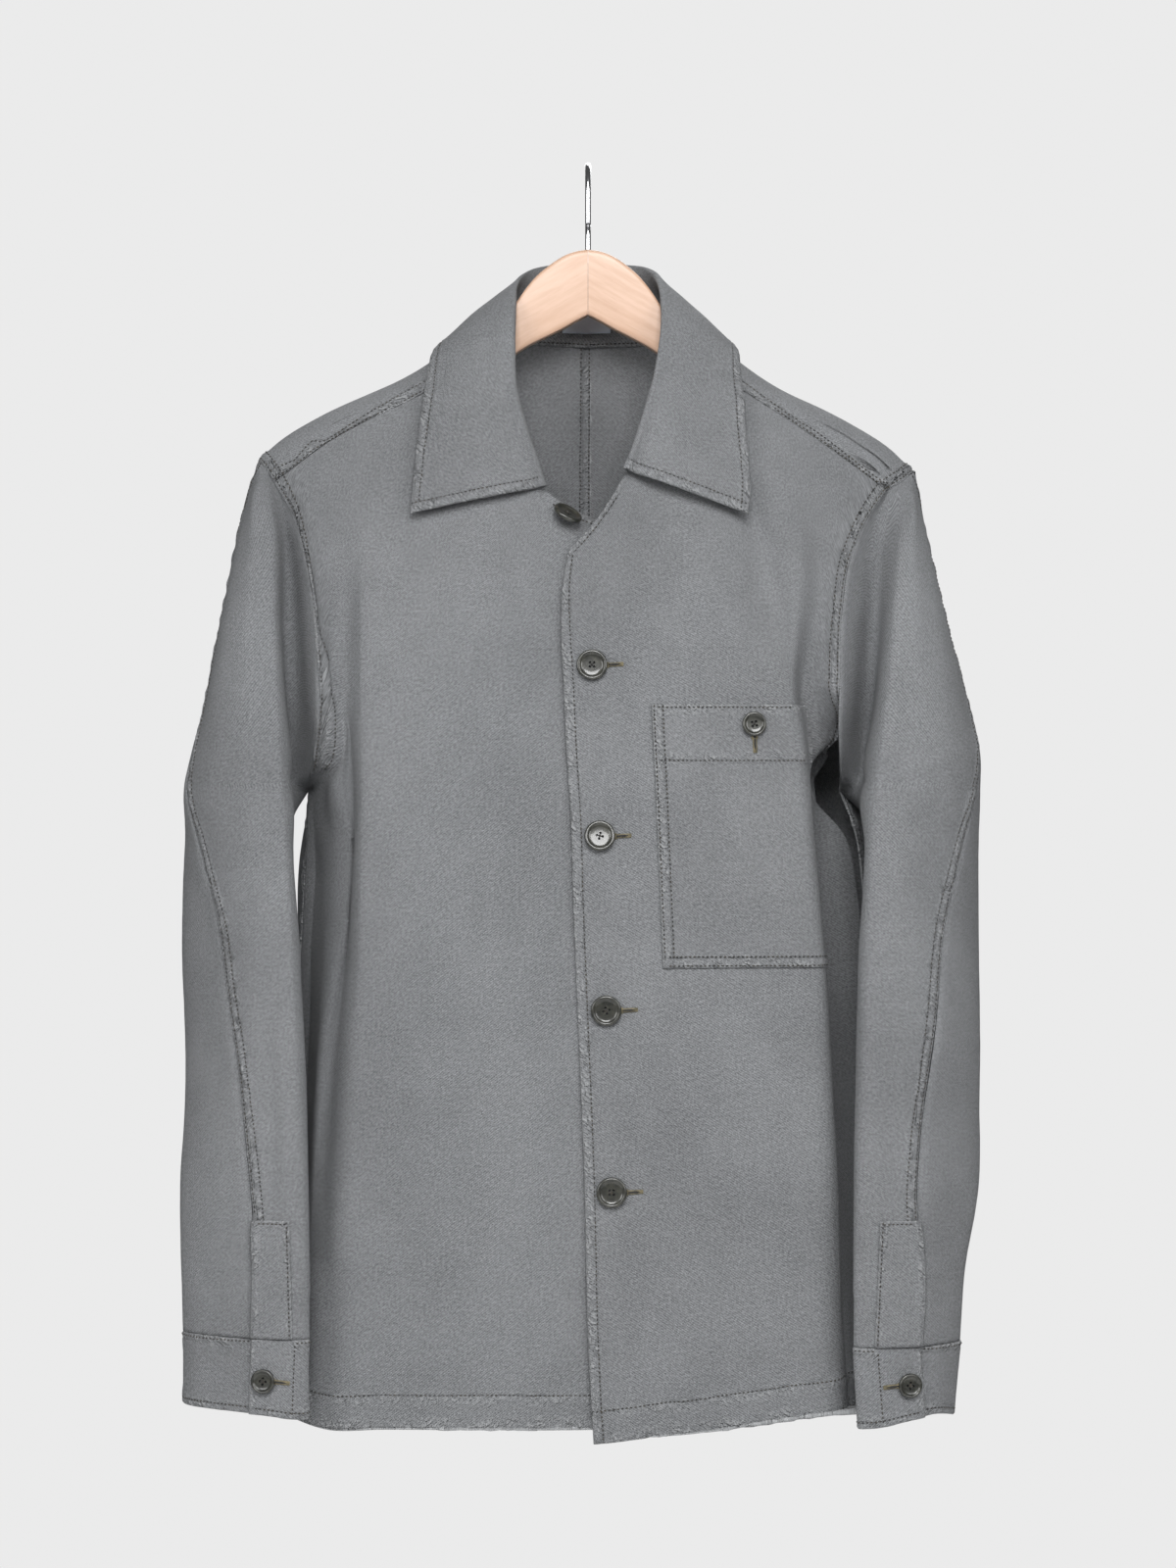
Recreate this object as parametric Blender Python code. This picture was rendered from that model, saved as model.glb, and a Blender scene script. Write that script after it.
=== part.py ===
"""An overshirt on a wooden hanger: twill cloth walls cut as a maker cuts them, buttons, hanger and hook.

Metres, +Z up. The origin is the inside of the hook's crown, +X is the viewer's right and -Y the front.
The tables are in millimetres. Their heights start DATUM below the crown, and "out" is the distance from
the middle, so that one table serves a viewer's left side (SIDE -1) or a right side (SIDE +1).
"""

import math

import bmesh
import bpy
from mathutils import Vector
from mathutils.bvhtree import BVHTree

MM = 0.001
DATUM = -7.0
LEFT, RIGHT = -1, 1

CLOTH = 1.2  # one layer of twill
DOUBLE = 2.0  # collar, cuffs and facings
SEAM = 0.3  # what parts two pieces at a seam
CAP_GAP = 0.6  # the sleeve head under the shoulder
LIFT = 0.35  # what parts a piece from the cloth that it lies on

TOP, LEVEL, UNDERARM = -209.0, -350.0, -412.0  # stations: shoulder, first level row, underarm
WRAP = (-193.0, -197.0, -201.0, -205.0)  # stations from the forward shoulder seam to behind the ridge
WRAP_ROWS = (-193, -195, -197, -199, -201, -203, -205, -207)
ARMHOLE_ROWS = (-209, -218, -230, -245, -265, -285, -310, -335, -357, -378, -396, -406, -412)
BODY_ROWS = ARMHOLE_ROWS + (-440, -485, -530, -580, -640, -700, -760, -805, -842)
SLEEVE_ROWS = ARMHOLE_ROWS + (-430, -450, -480, -520, -560, -600, -645, -693, -732)
CUFF_TOP = {LEFT: -770, RIGHT: -775}
POCKET_TOP, POCKET_BAND, POCKET_FOOT = -357, -396, -530
PLACKET_TOP = -693

# Armholes: station, out, depth, height. They start at the forward shoulder seam or behind the ridge.
ARMHOLE = {
    (LEFT, "front"): (
        (-209, 210.0, -28, -207), (-222, 198.5, -33, -226), (-245, 190.0, -42, -252),
        (-265, 184.5, -48, -278), (-285, 181.3, -52, -300), (-335, 179.3, -54, -337),
        (-378, 180.4, -49, -374), (-396, 184.0, -36, -396), (-406, 187.0, -18, -408),
        (-412, 188.8, 2, -413),
    ),
    (LEFT, "back"): (
        (-209, 216.0, 0, -203), (-222, 209.0, 14, -222), (-245, 202.0, 25, -247),
        (-285, 191.0, 41, -296), (-335, 187.0, 43, -340), (-378, 186.0, 37, -376),
        (-396, 186.5, 29, -394), (-406, 187.5, 17, -407), (-412, 188.8, 2, -413),
    ),
    (RIGHT, "front"): (
        (-209, 200.0, -28, -213), (-222, 188.6, -34, -229), (-245, 178.0, -42, -251),
        (-265, 172.0, -46, -270), (-285, 168.7, -50, -294), (-335, 167.2, -51, -336),
        (-378, 166.6, -46, -374), (-396, 168.0, -33, -396), (-406, 169.5, -16, -408),
        (-412, 170.5, 2, -413),
    ),
    (RIGHT, "back"): (
        (-209, 216.0, 0, -209), (-222, 208.0, 14, -228), (-245, 199.0, 25, -251),
        (-285, 186.0, 41, -296), (-335, 179.0, 43, -340), (-378, 175.0, 37, -376),
        (-396, 173.0, 29, -394), (-406, 171.5, 17, -407), (-412, 170.5, 2, -413),
    ),
}

# Side seams below the underarm, and the underarm seams of the sleeves: height, out, depth.
SIDE_SEAM = {
    LEFT: ((-413, 188.8, 2), (-440, 190, 4), (-530, 195, 6), (-600, 196.5, 6), (-700, 198, 6), (-827, 198.5, 6)),
    RIGHT: ((-413, 170.5, 2), (-440, 181, 5), (-485, 188, 7), (-530, 192, 8), (-600, 194, 8), (-816, 196, 5)),
}

# Lines down each front, from the front edge to just before the armhole: height, out, depth.
FRONT = {
    LEFT: {
        "edge": ((-240, -24, -45), (-252, -24, -58), (-300, -24, -67), (-357, -24, -71), (-412, -24, -74),
                 (-530, -24, -79), (-680, -24, -79.5), (-760, -24, -76.5), (-832, -24, -75)),
        "button": ((-233, -3, -47), (-247, -4, -59), (-300, -6, -67.5), (-357, -7, -71.5), (-412, -8, -74.5),
                   (-530, -8, -79.5), (-680, -8, -80), (-760, -8, -77), (-832, -8, -75.5)),
        "collar end": ((-214, 29, -61), (-245, 27, -65), (-300, 26, -69), (-357, 26, -73), (-412, 26, -76),
                       (-530, 26, -81), (-680, 26, -81.5), (-760, 27, -79), (-832, 28, -77.5)),
        "neck": ((-176, 50, -47), (-215, 49, -57), (-260, 48, -65), (-300, 48, -69), (-357, 49, -73),
                 (-412, 50, -76), (-530, 52, -81), (-680, 54, -81), (-760, 55, -78.5), (-832, 56, -77)),
        "neck point": ((-116, 66, -18), (-150, 68, -34), (-190, 70, -48), (-230, 71, -57), (-300, 72, -68),
                       (-357, 74, -73), (-412, 76, -76), (-530, 80, -80.5), (-680, 84, -80.5),
                       (-760, 86, -78), (-832, 88, -76.5)),
        "shoulder": ((-148, 112, -22), (-180, 112, -33), (-215, 112, -43), (-300, 112, -60), (-357, 114, -67),
                     (-412, 116, -71), (-530, 120, -76), (-680, 128, -77), (-832, 134, -74.5)),
        "crease": ((-166.5, 150, -25), (-200, 151, -35), (-240, 151, -43), (-300, 150, -54), (-357, 150, -62),
                   (-412, 149, -66), (-470, 148, -68), (-530, 150, -70), (-600, 156, -71), (-680, 164, -71.5),
                   (-760, 168, -71), (-833, 170, -70.5)),
        "fold": ((-189, 186, -27), (-215, 181, -34), (-245, 175, -42), (-300, 168, -52), (-357, 168, -58),
                 (-412, 175, -50), (-450, 168.5, -56), (-485, 169, -59), (-530, 174.5, -60), (-600, 184, -58),
                 (-680, 190.5, -55), (-760, 194, -52), (-828, 196, -50)),
        "turn": ((-198.5, 199, -27.6), (-222, 189, -34.5), (-245, 183, -41.5), (-300, 175, -52),
                 (-357, 174, -56), (-396, 179, -38), (-412, 181.5, -25), (-450, 182, -28), (-530, 188, -28),
                 (-600, 193, -26), (-680, 196, -24), (-827, 199, -20)),
    },
    RIGHT: {
        "edge": ((-256, -13, -69), (-280, -17, -71.5), (-306, -17.8, -73.5), (-349, -16, -76),
                 (-392, -14, -78.5), (-423, -11.8, -80), (-497, -9.4, -83), (-563, -6.7, -84),
                 (-666, -2.6, -84), (-782, 0.3, -81), (-842, 3.6, -80)),
        "button": ((-232, 7.5, -70), (-256, 4, -71.5), (-306, 2, -73.5), (-349, 3, -76), (-423, 5, -80),
                   (-497, 7, -83), (-563, 9, -84), (-666, 12, -84), (-782, 14, -81), (-841, 15, -80)),
        "collar end": ((-204, 25, -66), (-245, 23, -70), (-300, 21, -73), (-357, 21, -76), (-412, 22, -79),
                       (-530, 24, -83), (-680, 26, -83), (-760, 27, -80.5), (-839.5, 28, -79.5)),
        "pocket": ((-172, 44, -50), (-215, 41, -60), (-260, 40, -67), (-300, 40.5, -70.5), (-357, 41.5, -74),
                   (-412, 44, -77), (-470, 46.5, -80), (-530, 49, -81.5), (-680, 51, -81.5), (-760, 52, -79.5),
                   (-836, 53, -78)),
        "neck point": ((-118, 66, -18), (-150, 68, -34), (-190, 70, -48), (-230, 72, -57), (-300, 75, -67),
                       (-357, 77, -71), (-412, 78, -74), (-530, 82, -78.5), (-680, 90, -79), (-831, 97, -76)),
        "shoulder": ((-148.5, 110, -22), (-180, 110, -33), (-215, 110, -43), (-300, 110, -60),
                     (-357, 111, -68), (-412, 113, -71.5), (-530, 118, -75), (-600, 124, -76.5),
                     (-680, 132, -77), (-825, 140, -75)),
        "fold": ((-173.5, 146, -25), (-200, 144, -35), (-240, 141, -46), (-300, 138.5, -60), (-357, 137, -69),
                 (-412, 140.5, -69), (-470, 147, -69), (-530, 153, -69), (-600, 159, -69), (-680, 171, -69),
                 (-760, 176, -69), (-820, 179, -68)),
        "turn": ((-195, 176, -27), (-222, 166, -36), (-250, 158, -42), (-300, 150, -46), (-357, 147.5, -42),
                 (-396, 154, -38), (-412, 156, -36), (-470, 164, -33), (-530, 170, -31), (-600, 176, -29),
                 (-680, 185, -28), (-817, 192, -27)),
    },
}
FRONT_STEPS = {LEFT: (1, 2, 2, 2, 2, 2, 2, 1, 2), RIGHT: (2, 1, 2, 2, 2, 2, 2, 2)}

# Lines down each back half: four places from the forward seam to behind the ridge (out, depth, height),
# then height, out, depth.
BACK_WRAP = {
    "centre": ((0, 38, -92), (0, 38.6, -97), (0, 39.2, -103), (0, 40, -110)),
    "neck": ((46, 24, -95), (48, 24.5, -98), (50, 25, -102), (52, 26, -107)),
    "neck ridge": ((65.5, -3, -98.5), (66, -0.5, -97.8), (66.5, 5, -99), (67.5, 11.5, -104)),
    "neck point": ((66, -18, -116), (67, -14, -105), (69, -2.5, -99), (70, 10.5, -104.5)),
    "shoulder": ((112, -22, -148), (113, -18, -137), (114, -5, -130), (115, 8, -136)),
    "tip": ((176, -26.5, -181), (178, -22.5, -169), (180, -10, -160.5), (180, 2, -166)),
}
BACK_HANG = {
    "centre": ((-118, 0, 41), (-160, 0, 45), (-230, 0, 51), (-300, 0, 57), (-412, 0, 65), (-530, 0, 70),
               (-660, 0, 71), (-832, 0, 66)),
    "neck": ((-114, 53, 28), (-160, 56, 38), (-230, 58, 48), (-300, 60, 55), (-412, 61, 64), (-530, 62, 69),
             (-660, 64, 70), (-832, 66, 65)),
    "neck ridge": ((-114, 67.5, 18.5), (-160, 69, 34), (-230, 71, 46.5), (-300, 73, 54), (-412, 74, 63.5),
                   (-530, 76, 68.5), (-660, 79, 69.5), (-832, 82, 64.3)),
    "neck point": ((-118, 71, 17), (-160, 75, 32), (-230, 76, 45), (-300, 78, 53), (-412, 79, 63),
                   (-530, 81, 68), (-660, 84, 69), (-832, 87, 64)),
    "shoulder": ((-150, 115, 14), (-190, 117, 27), (-240, 119, 39), (-300, 120, 50), (-412, 121, 61),
                 (-530, 124, 67), (-660, 130, 68), (-831, 135, 62)),
    "tip": ((-180, 178, 8), (-215, 172, 22), (-250, 168, 32), (-300, 163, 44), (-357, 161, 53), (-412, 166, 57),
            (-450, 171, 58), (-530, 174, 60), (-660, 178, 61), (-829, 182, 56)),
    "fold": ((-191, 200, 4), (-222, 191, 19), (-250, 184, 30), (-300, 178, 44), (-357, 175, 50),
             (-396, 180, 44), (-412, 186, 38), (-450, 196, 40), (-530, 198, 41), (-660, 200, 40),
             (-827, 201, 36)),
}
BACK_WRAP["fold"] = ((195, -27.5, -195), (199, -24, -183), (202, -12, -174), (202, -1, -179))
SHOULDER_WRAP = {
    LEFT: ((210, -28, -207), (216, -24.5, -198), (221.5, -15, -191.5), (220, -6, -195)),
    RIGHT: ((200, -28, -213), (212, -25, -205), (219.5, -15, -199), (219, -6, -202)),
}
BACK_STEPS = {LEFT: (3, 1, 1, 2, 3, 2, 2), RIGHT: (3, 1, 1, 2, 3, 1, 2)}
NECK_POINT = {"front": 4, "back": 3}  # the neck point's line on each panel
LEAN, LEAN_START = 0.045, 25.0  # the hanger dips towards the viewer's right, past its neck

# The forward shoulder seam: out, depth, height.
SHOULDER_SEAM = {
    LEFT: ((66, -18, -116), (112, -22, -148), (136, -24, -159.5), (173, -26, -179.5), (191, -27.3, -192.6),
           (210, -28, -207)),
    RIGHT: ((66, -18, -117), (104, -21.5, -145), (146, -25, -173), (176, -27, -194.5), (200, -28, -213)),
}

# Lines down each sleeve between its two armhole lines: top (out, depth, height), then height, out, depth.
SLEEVE = {
    LEFT: {
        "valley": ((-205.5, 211, -27), (-222, 206, -28), (-245, 203, -27), (-300, 201.5, -25), (-357, 201, -20),
                   (-392, 200, -13), (-412, 200, -14), (-450, 201, -42), (-520, 197, -46), (-600, 193.5, -52),
                   (-680, 190, -66), (-770, 188, -84)),
        "ridge": ((-201, 214, -25), (-222, 212.5, -38), (-245, 209.3, -47), (-300, 207.5, -63), (-357, 203, -76),
                  (-412, 200.5, -84), (-450, 197.6, -88), (-520, 193, -93), (-600, 189.5, -97),
                  (-680, 186, -99), (-770, 181.5, -100)),
        "crease": ((-196.5, 217, -22), (-222, 222.5, -41), (-245, 221.3, -51), (-300, 218.5, -67),
                   (-357, 213, -80), (-412, 208, -88), (-450, 205, -92), (-520, 200, -97), (-600, 196, -100.5),
                   (-680, 194.5, -103), (-770, 192, -105)),
        "face": ((-192.5, 220, -19), (-222, 228, -31), (-245, 231, -40), (-300, 236, -57), (-357, 241, -68),
                 (-412, 239, -79), (-450, 232, -84), (-520, 221, -93), (-600, 212, -98), (-680, 207, -101),
                 (-770, 206, -103)),
        "seam": ((-191.5, 221.5, -14), (-222, 230.5, -10), (-245, 235.5, -12), (-300, 247, -17),
                 (-357, 257.5, -25), (-392, 264, -38), (-412, 266, -46), (-450, 256.4, -62), (-500, 242, -77),
                 (-542, 236.5, -82), (-600, 228, -89), (-652, 222.4, -94), (-680, 219.3, -96), (-770, 219, -98)),
        "rear": ((-193, 221, -9), (-222, 229, 3), (-245, 233, 6), (-300, 244, 12), (-357, 255, 16),
                 (-392, 262, 10), (-412, 267, -2), (-450, 270, -18), (-520, 270.5, -36), (-600, 267.5, -44),
                 (-680, 270.3, -50), (-770, 267.5, -55)),
        "back": ((-196.5, 219.5, -5), (-222, 223, 12), (-245, 224, 21), (-300, 229, 34), (-357, 236, 42),
                 (-392, 242, 42), (-412, 247, 38), (-450, 258, 26), (-520, 263, 10), (-600, 262, -2),
                 (-680, 262, -16), (-770, 256, -36)),
        "inside": ((-199.5, 218, -2), (-222, 215, 15.5), (-245, 211, 26), (-300, 207, 43), (-357, 207, 48),
                   (-392, 210, 46), (-412, 216, 42), (-450, 230, 38), (-520, 233, 25), (-600, 231, 12),
                   (-680, 232, -10), (-770, 228, -44)),
        "underarm": ((-413, 188.8, 2), (-430, 199, 2), (-450, 207, 2), (-520, 208, -4), (-600, 207, -14),
                     (-680, 206, -34), (-770, 206, -66)),
    },
    RIGHT: {
        "valley": ((-210, 203.5, -27), (-228, 197, -29), (-249, 195, -27), (-300, 193, -25), (-357, 189, -20),
                   (-392, 184, -13), (-412, 182, -14), (-450, 192, -42), (-520, 187, -48), (-600, 184, -56),
                   (-680, 180, -72), (-775, 180, -88)),
        "ridge": ((-207, 208, -25.5), (-228, 211.5, -37), (-249, 208.3, -47), (-300, 203, -62),
                  (-357, 196.5, -74), (-412, 189, -83), (-450, 185.5, -88), (-520, 182, -94),
                  (-600, 179.2, -98), (-680, 176, -100), (-775, 172.4, -102)),
        "crease": ((-203.5, 212, -23), (-228, 216, -40), (-249, 213, -51), (-300, 210, -66), (-357, 203.5, -78),
                   (-412, 198.5, -87), (-450, 195.5, -92), (-520, 191.8, -98), (-600, 190.8, -102),
                   (-680, 190, -104.5), (-775, 186, -107)),
        "face": ((-199.5, 217.5, -19), (-228, 222, -31), (-249, 224, -41), (-300, 230, -56), (-357, 236, -68),
                 (-412, 232, -80), (-450, 224, -85), (-520, 212, -95), (-600, 206, -100), (-680, 202, -103),
                 (-775, 201, -105)),
        "seam": ((-199, 219.5, -14), (-228, 223.5, -10), (-249, 227.4, -12), (-300, 239, -17), (-357, 254, -27),
                 (-392, 260, -42), (-412, 257, -52), (-450, 246.5, -68), (-500, 234, -82), (-568, 227, -90),
                 (-641, 216.5, -95), (-680, 214, -98), (-733, 218.5, -99), (-775, 216.5, -99)),
        "rear": ((-200.5, 219.5, -9), (-228, 222.5, 3), (-249, 225, 6), (-300, 236, 12), (-357, 250, 16),
                 (-392, 257, 8), (-412, 261, -6), (-450, 262, -22), (-520, 260.5, -38), (-600, 260, -48),
                 (-680, 258, -56), (-733, 249, -62), (-775, 245.5, -66)),
        "back": ((-203.5, 218.5, -5), (-228, 218, 12), (-249, 217, 21), (-300, 221, 34), (-357, 230, 42),
                 (-392, 234, 42), (-412, 240, 38), (-450, 250, 24), (-520, 254, 6), (-600, 253, -8),
                 (-680, 248, -26), (-775, 236, -50)),
        "inside": ((-206, 217.5, -2), (-228, 211, 15.5), (-249, 206, 26), (-300, 200, 43), (-357, 199, 48),
                   (-392, 200, 46), (-412, 206, 42), (-450, 222, 36), (-520, 226, 21), (-600, 224, 6),
                   (-680, 222, -22), (-775, 214, -58)),
        "underarm": ((-413, 170.5, 2), (-430, 188, 2), (-450, 200, 2), (-520, 202, -6), (-600, 201, -20),
                     (-680, 197, -46), (-775, 195, -76)),
    },
}
SLEEVE_STEPS = (2, 2, 1, 2, 2, 2, 2, 2, 2)
HEAD_MARKS = (0, 0.1, 0.24, 0.36, 0.5, 0.6, 0.7, 0.82, 0.92, 1)  # where the sleeve's lines leave the shoulder tip
SEAM_LINE = 5  # the back seam is the sleeve's line of this number, from the armhole on the front

# Collar, from each front end to the centre back: neck seam, roll and outer edge (each out, depth, height).
COLLAR = {
    LEFT: (
        ((30, -64.5, -214), (29, -70, -213), (118, -54, -230)),
        ((38, -60.5, -200), (33.5, -68, -195), (117, -50, -213)),
        ((46, -51, -182), (37.5, -62, -182), (115, -45, -190)),
        ((54, -41, -160), (43.5, -54, -162), (112.5, -39, -170)),
        ((60, -31, -141), (48, -44, -143), (110, -32, -150)),
        ((64, -21, -122), (49.5, -32, -117), (108.5, -23, -136)),
        ((66, -10, -108), (49.5, -17, -88), (105.5, -10, -119)),
        ((65, 3, -97), (48, 2, -69), (100, 12, -114)),
        ((54, 20, -93), (40, 24, -58), (84, 42, -116)),
        ((30, 33, -91), (22, 40, -52), (48, 58, -117)),
        ((0, 38, -90), (0, 47, -50), (0, 63, -116)),
    ),
    RIGHT: (
        ((26, -69, -204), (25, -76, -202), (106, -55, -231)),
        ((33, -65, -191), (29.1, -74, -191), (108, -51, -213)),
        ((41, -54, -174), (33.7, -65, -176), (107, -46, -192)),
        ((50, -43, -156), (39.4, -55, -157), (105.5, -39, -171)),
        ((58, -33, -141), (44, -45, -139), (104.5, -32, -152)),
        ((64, -22, -123), (47.5, -33, -115), (103, -23, -138)),
        ((66, -10, -108), (49.5, -17, -88), (102, -10, -120)),
        ((65, 3, -97), (48, 2, -68), (98, 12, -114)),
        ((54, 20, -93), (40, 24, -57), (84, 42, -116)),
        ((30, 33, -91), (22, 40, -52), (48, 58, -117)),
    ),
}
ROLL_RADIUS, COLLAR_THICK, COLLAR_BOW, COLLAR_GAP = 2.4, 1.6, 3.0, 0.8
COLLAR_ROWS, COLLAR_TURN = 30, 1

POCKET_LINES = (3, 7)  # the pocket runs from the front's line 3 to its line 7
FACING_FOOT, FACING_TOP = 6, -97.5  # the last row of the back that the facing covers, and near its top edge
LABEL, LABEL_THICK = (33.0, -1.0, -84.0, -100.5), 0.6  # width, middle, top and bottom

# The foot of each cuff, for each line of the sleeve: out, depth, height.
CUFF_FOOT = {
    LEFT: {
        "seam": (221, -98, -819), "face": (206, -103, -820), "crease": (193, -105, -821.5),
        "ridge": (182.5, -101, -822), "valley": (189, -86, -820), "underarm": (206, -68, -819),
        "inside": (228, -48, -818), "back": (255, -38, -818), "rear": (267, -54, -818),
    },
    RIGHT: {
        "seam": (219.5, -98, -821), "face": (203, -105, -824), "crease": (188, -107, -827),
        "ridge": (175, -102, -828), "valley": (182, -90, -826), "underarm": (196, -79, -824),
        "inside": (212, -63, -823), "back": (230, -53, -823), "rear": (240, -67, -824),
    },
}
CUFF_STEPS = (2, 1, 1, 2, 2, 2, 2, 2, 3, 1, 1)
CUFF_BUTTON = {LEFT: (210.5, -797), RIGHT: (208.5, -799.5)}  # out, height

# The hanger: out, height of the top edge, height of the bottom edge, depth of the middle.
ARM = (
    (0.25, -48.5, -92.5, 0), (8, -49.6, -96.5, 0), (15.9, -52.5, -101, 0), (26.8, -59.6, -106.5, 0),
    (34.5, -66.0, -110.2, 0), (41.8, -74.5, -114, 0), (48.7, -84.5, -118.5, -0.2), (56, -94.5, -123, -0.4),
    (66, -103.8, -129, -0.4), (90, -120, -144, -2.5), (117, -136, -159, -4.5), (150, -150.5, -174, -7.5),
    (180, -166, -189, -10), (196, -177.5, -196, -12), (207, -187, -201, -13.5), (212, -192, -199, -14),
)
ARM_THICK, ARM_THICK_AT = (14.0, 14.0, 11.0, 7.0), (0, 60, 150, 212)
ARM_STEPS = 22
ARM_SECTION = (
    (-0.5, 1.0), (-0.88, 0.95), (-1.0, 0.82), (-1.0, 0.18), (-0.88, 0.05), (-0.5, 0.0),
    (0.5, 0.0), (0.88, 0.05), (1.0, 0.18), (1.0, 0.82), (0.88, 0.95), (0.5, 1.0),
)
HOOK_WIRE = 3.8
HOOK_RADIUS = 18.0
HOOK_STEM_FOOT = -48.0

# Buttons: x and height.
MAIN_BUTTONS = ((2.6, -331), (7.7, -443.5), (11.9, -557.5), (15.4, -676.5))
BUTTON, SMALL_BUTTON = 20.2, 16.0
BUTTON_THICK, BUTTON_LIFT = 3.2, 0.8
NECK_BUTTON, NECK_WAY, NECK_SHANK = (-14, -232), (0.46, -0.42, 0.78), 6.1  # it hangs tipped up on its shank
POCKET_BUTTON = (109, -370)


def spline(knots, points):
    """A smooth curve through the points, as a function of the knot value."""
    slopes = []
    for index in range(len(points)):
        low, high = max(index - 1, 0), min(index + 1, len(points) - 1)
        if 0 < index < len(points) - 1:
            before, after = knots[index] - knots[low], knots[high] - knots[index]
            rise = (points[index] - points[low]) / before
            fall = (points[high] - points[index]) / after
            slopes.append((rise * after + fall * before) / (before + after))
        else:
            slopes.append((points[high] - points[low]) / (knots[high] - knots[low]))

    def at(value):
        index = 0
        while index < len(knots) - 2 and value > knots[index + 1]:
            index += 1
        width = knots[index + 1] - knots[index]
        t = min(max((value - knots[index]) / width, 0.0), 1.0)
        return (
            points[index] * (2 * t**3 - 3 * t**2 + 1)
            + slopes[index] * (width * (t**3 - 2 * t**2 + t))
            + points[index + 1] * (3 * t**2 - 2 * t**3)
            + slopes[index + 1] * (width * (t**3 - t**2))
        )

    return at


def place(side, out, depth, height):
    return Vector((side * out, depth, height + DATUM))


def station(height, top):
    """Rows start at each line's own top and are level below LEVEL."""
    if height <= LEVEL:
        return -height
    return -(TOP + (top - height) / (top - LEVEL) * (LEVEL - TOP))


def hanging_line(side, rows):
    """A line down the cloth through rows of height, out, depth."""
    knots = [station(row[0], rows[0][0]) for row in rows]
    return spline(knots, [place(side, row[1], row[2], row[0]) for row in rows])


def armhole_line(side, face, below):
    """The armhole, then the line of height, out, depth below the underarm."""
    hole = ARMHOLE[side, face]
    above = spline([-row[0] for row in hole], [place(side, *row[1:]) for row in hole])
    knots = [-UNDERARM] + [-row[0] for row in below[1:]]
    under = spline(knots, [place(side, row[1], row[2], row[0]) for row in below])
    return lambda value: above(value) if value <= -UNDERARM else under(value)


def dip(side, out):
    return LEAN * max(out - LEAN_START, 0.0) if side == RIGHT else 0.0


def wrapped_line(side, wrap, hang):
    """A back line from the forward shoulder seam over the ridge and down."""
    knots = [-value for value in WRAP] + [station(row[0], hang[0][0]) for row in hang]
    points = [place(side, out, depth, height - dip(side, out)) for out, depth, height in wrap]
    points += [place(side, out, depth, height - dip(side, out) * (height > LEVEL)) for height, out, depth in hang]
    return spline(knots, points)


def set_on_seam(side, row, first):
    """Brings the points of a front's top row onto the forward shoulder seam, from the neck point outwards."""
    table = SHOULDER_SEAM[side]
    seam = spline([point[0] for point in table], [place(side, *point) for point in table])
    for index in range(first, len(row)):
        row[index] = seam(abs(row[index].x))


def across(marks, steps):
    """A row of points through the marks, with the given steps between each two."""
    knots = [0.0]
    for start, end in zip(marks, marks[1:]):
        knots.append(knots[-1] + max((end - start).length, 0.05))
    curve = spline(knots, marks)
    row = [marks[0]]
    for index, count in enumerate(steps):
        width = knots[index + 1] - knots[index]
        row += [curve(knots[index] + width * step / count) for step in range(1, count + 1)]
    return row


def weave(lines, rows, steps):
    """A grid of points: one row for each station, through every line."""
    return [across([line(-value) for line in lines], steps) for value in rows]


def facing(grid, turn):
    """The way that each point of a grid faces."""
    last_row, last = len(grid) - 1, len(grid[0]) - 1
    result = []
    for i, row in enumerate(grid):
        faces = []
        for j in range(len(row)):
            down = grid[min(i + 1, last_row)][j] - grid[max(i - 1, 0)][j]
            along = row[min(j + 1, last)] - row[max(j - 1, 0)]
            faces.append(down.cross(along).normalized() * turn)
        result.append(faces)
    return result


def share_rims(first, second, reach=7.0):
    """Makes two pieces face the same way where their edges meet: each is a list of (point, faces, i, j)."""
    pairs = []
    for ours, theirs in ((first, second), (second, first)):
        for point, faces, i, j in ours:
            near = min(theirs, key=lambda other: (other[0] - point).length_squared)
            their_face = near[1][near[2]][near[3]]
            if (near[0] - point).length < reach and faces[i][j].dot(their_face) > -0.35:
                pairs.append((faces, i, j, (faces[i][j] + their_face).normalized()))
    for faces, i, j, shared in pairs:
        faces[i][j] = shared


def trim(grid, left=0.0, right=0.0, top=0.0, bottom=0.0):
    """The grid with its edges drawn in by these widths."""
    rows = [list(row) for row in grid]

    def drawn(point, towards, width):
        way = towards - point
        return point + way * min(width / max(way.length, 1e-6), 0.45)

    for row, old in zip(rows, grid):
        row[0] = drawn(old[0], old[1], left)
        row[-1] = drawn(old[-1], old[-2], right)
    above, below = [list(rows[0]), list(rows[1])], [list(rows[-1]), list(rows[-2])]
    rows[0] = [drawn(point, towards, top) for point, towards in zip(*above)]
    rows[-1] = [drawn(point, towards, bottom) for point, towards in zip(*below)]
    return rows


def moved(grid, faces, lift):
    """The grid moved out along its faces, by one lift or by one for each row and column."""
    shift = lift if callable(lift) else lambda i, j: lift
    return [
        [point + face * shift(i, j) for j, (point, face) in enumerate(zip(*pair))]
        for i, pair in enumerate(zip(grid, faces))
    ]


def part_of(grid, rows, columns):
    return [row[columns[0] : columns[1] + 1] for row in grid[rows[0] : rows[1] + 1]]


def finish(name, color, roughness, metallic=0.0):
    material = bpy.data.materials.new(name)
    material.use_nodes = True
    shader = material.node_tree.nodes["Principled BSDF"]
    shader.inputs["Base Color"].default_value = (*color, 1.0)
    shader.inputs["Roughness"].default_value = roughness
    shader.inputs["Metallic"].default_value = metallic
    return material


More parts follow.
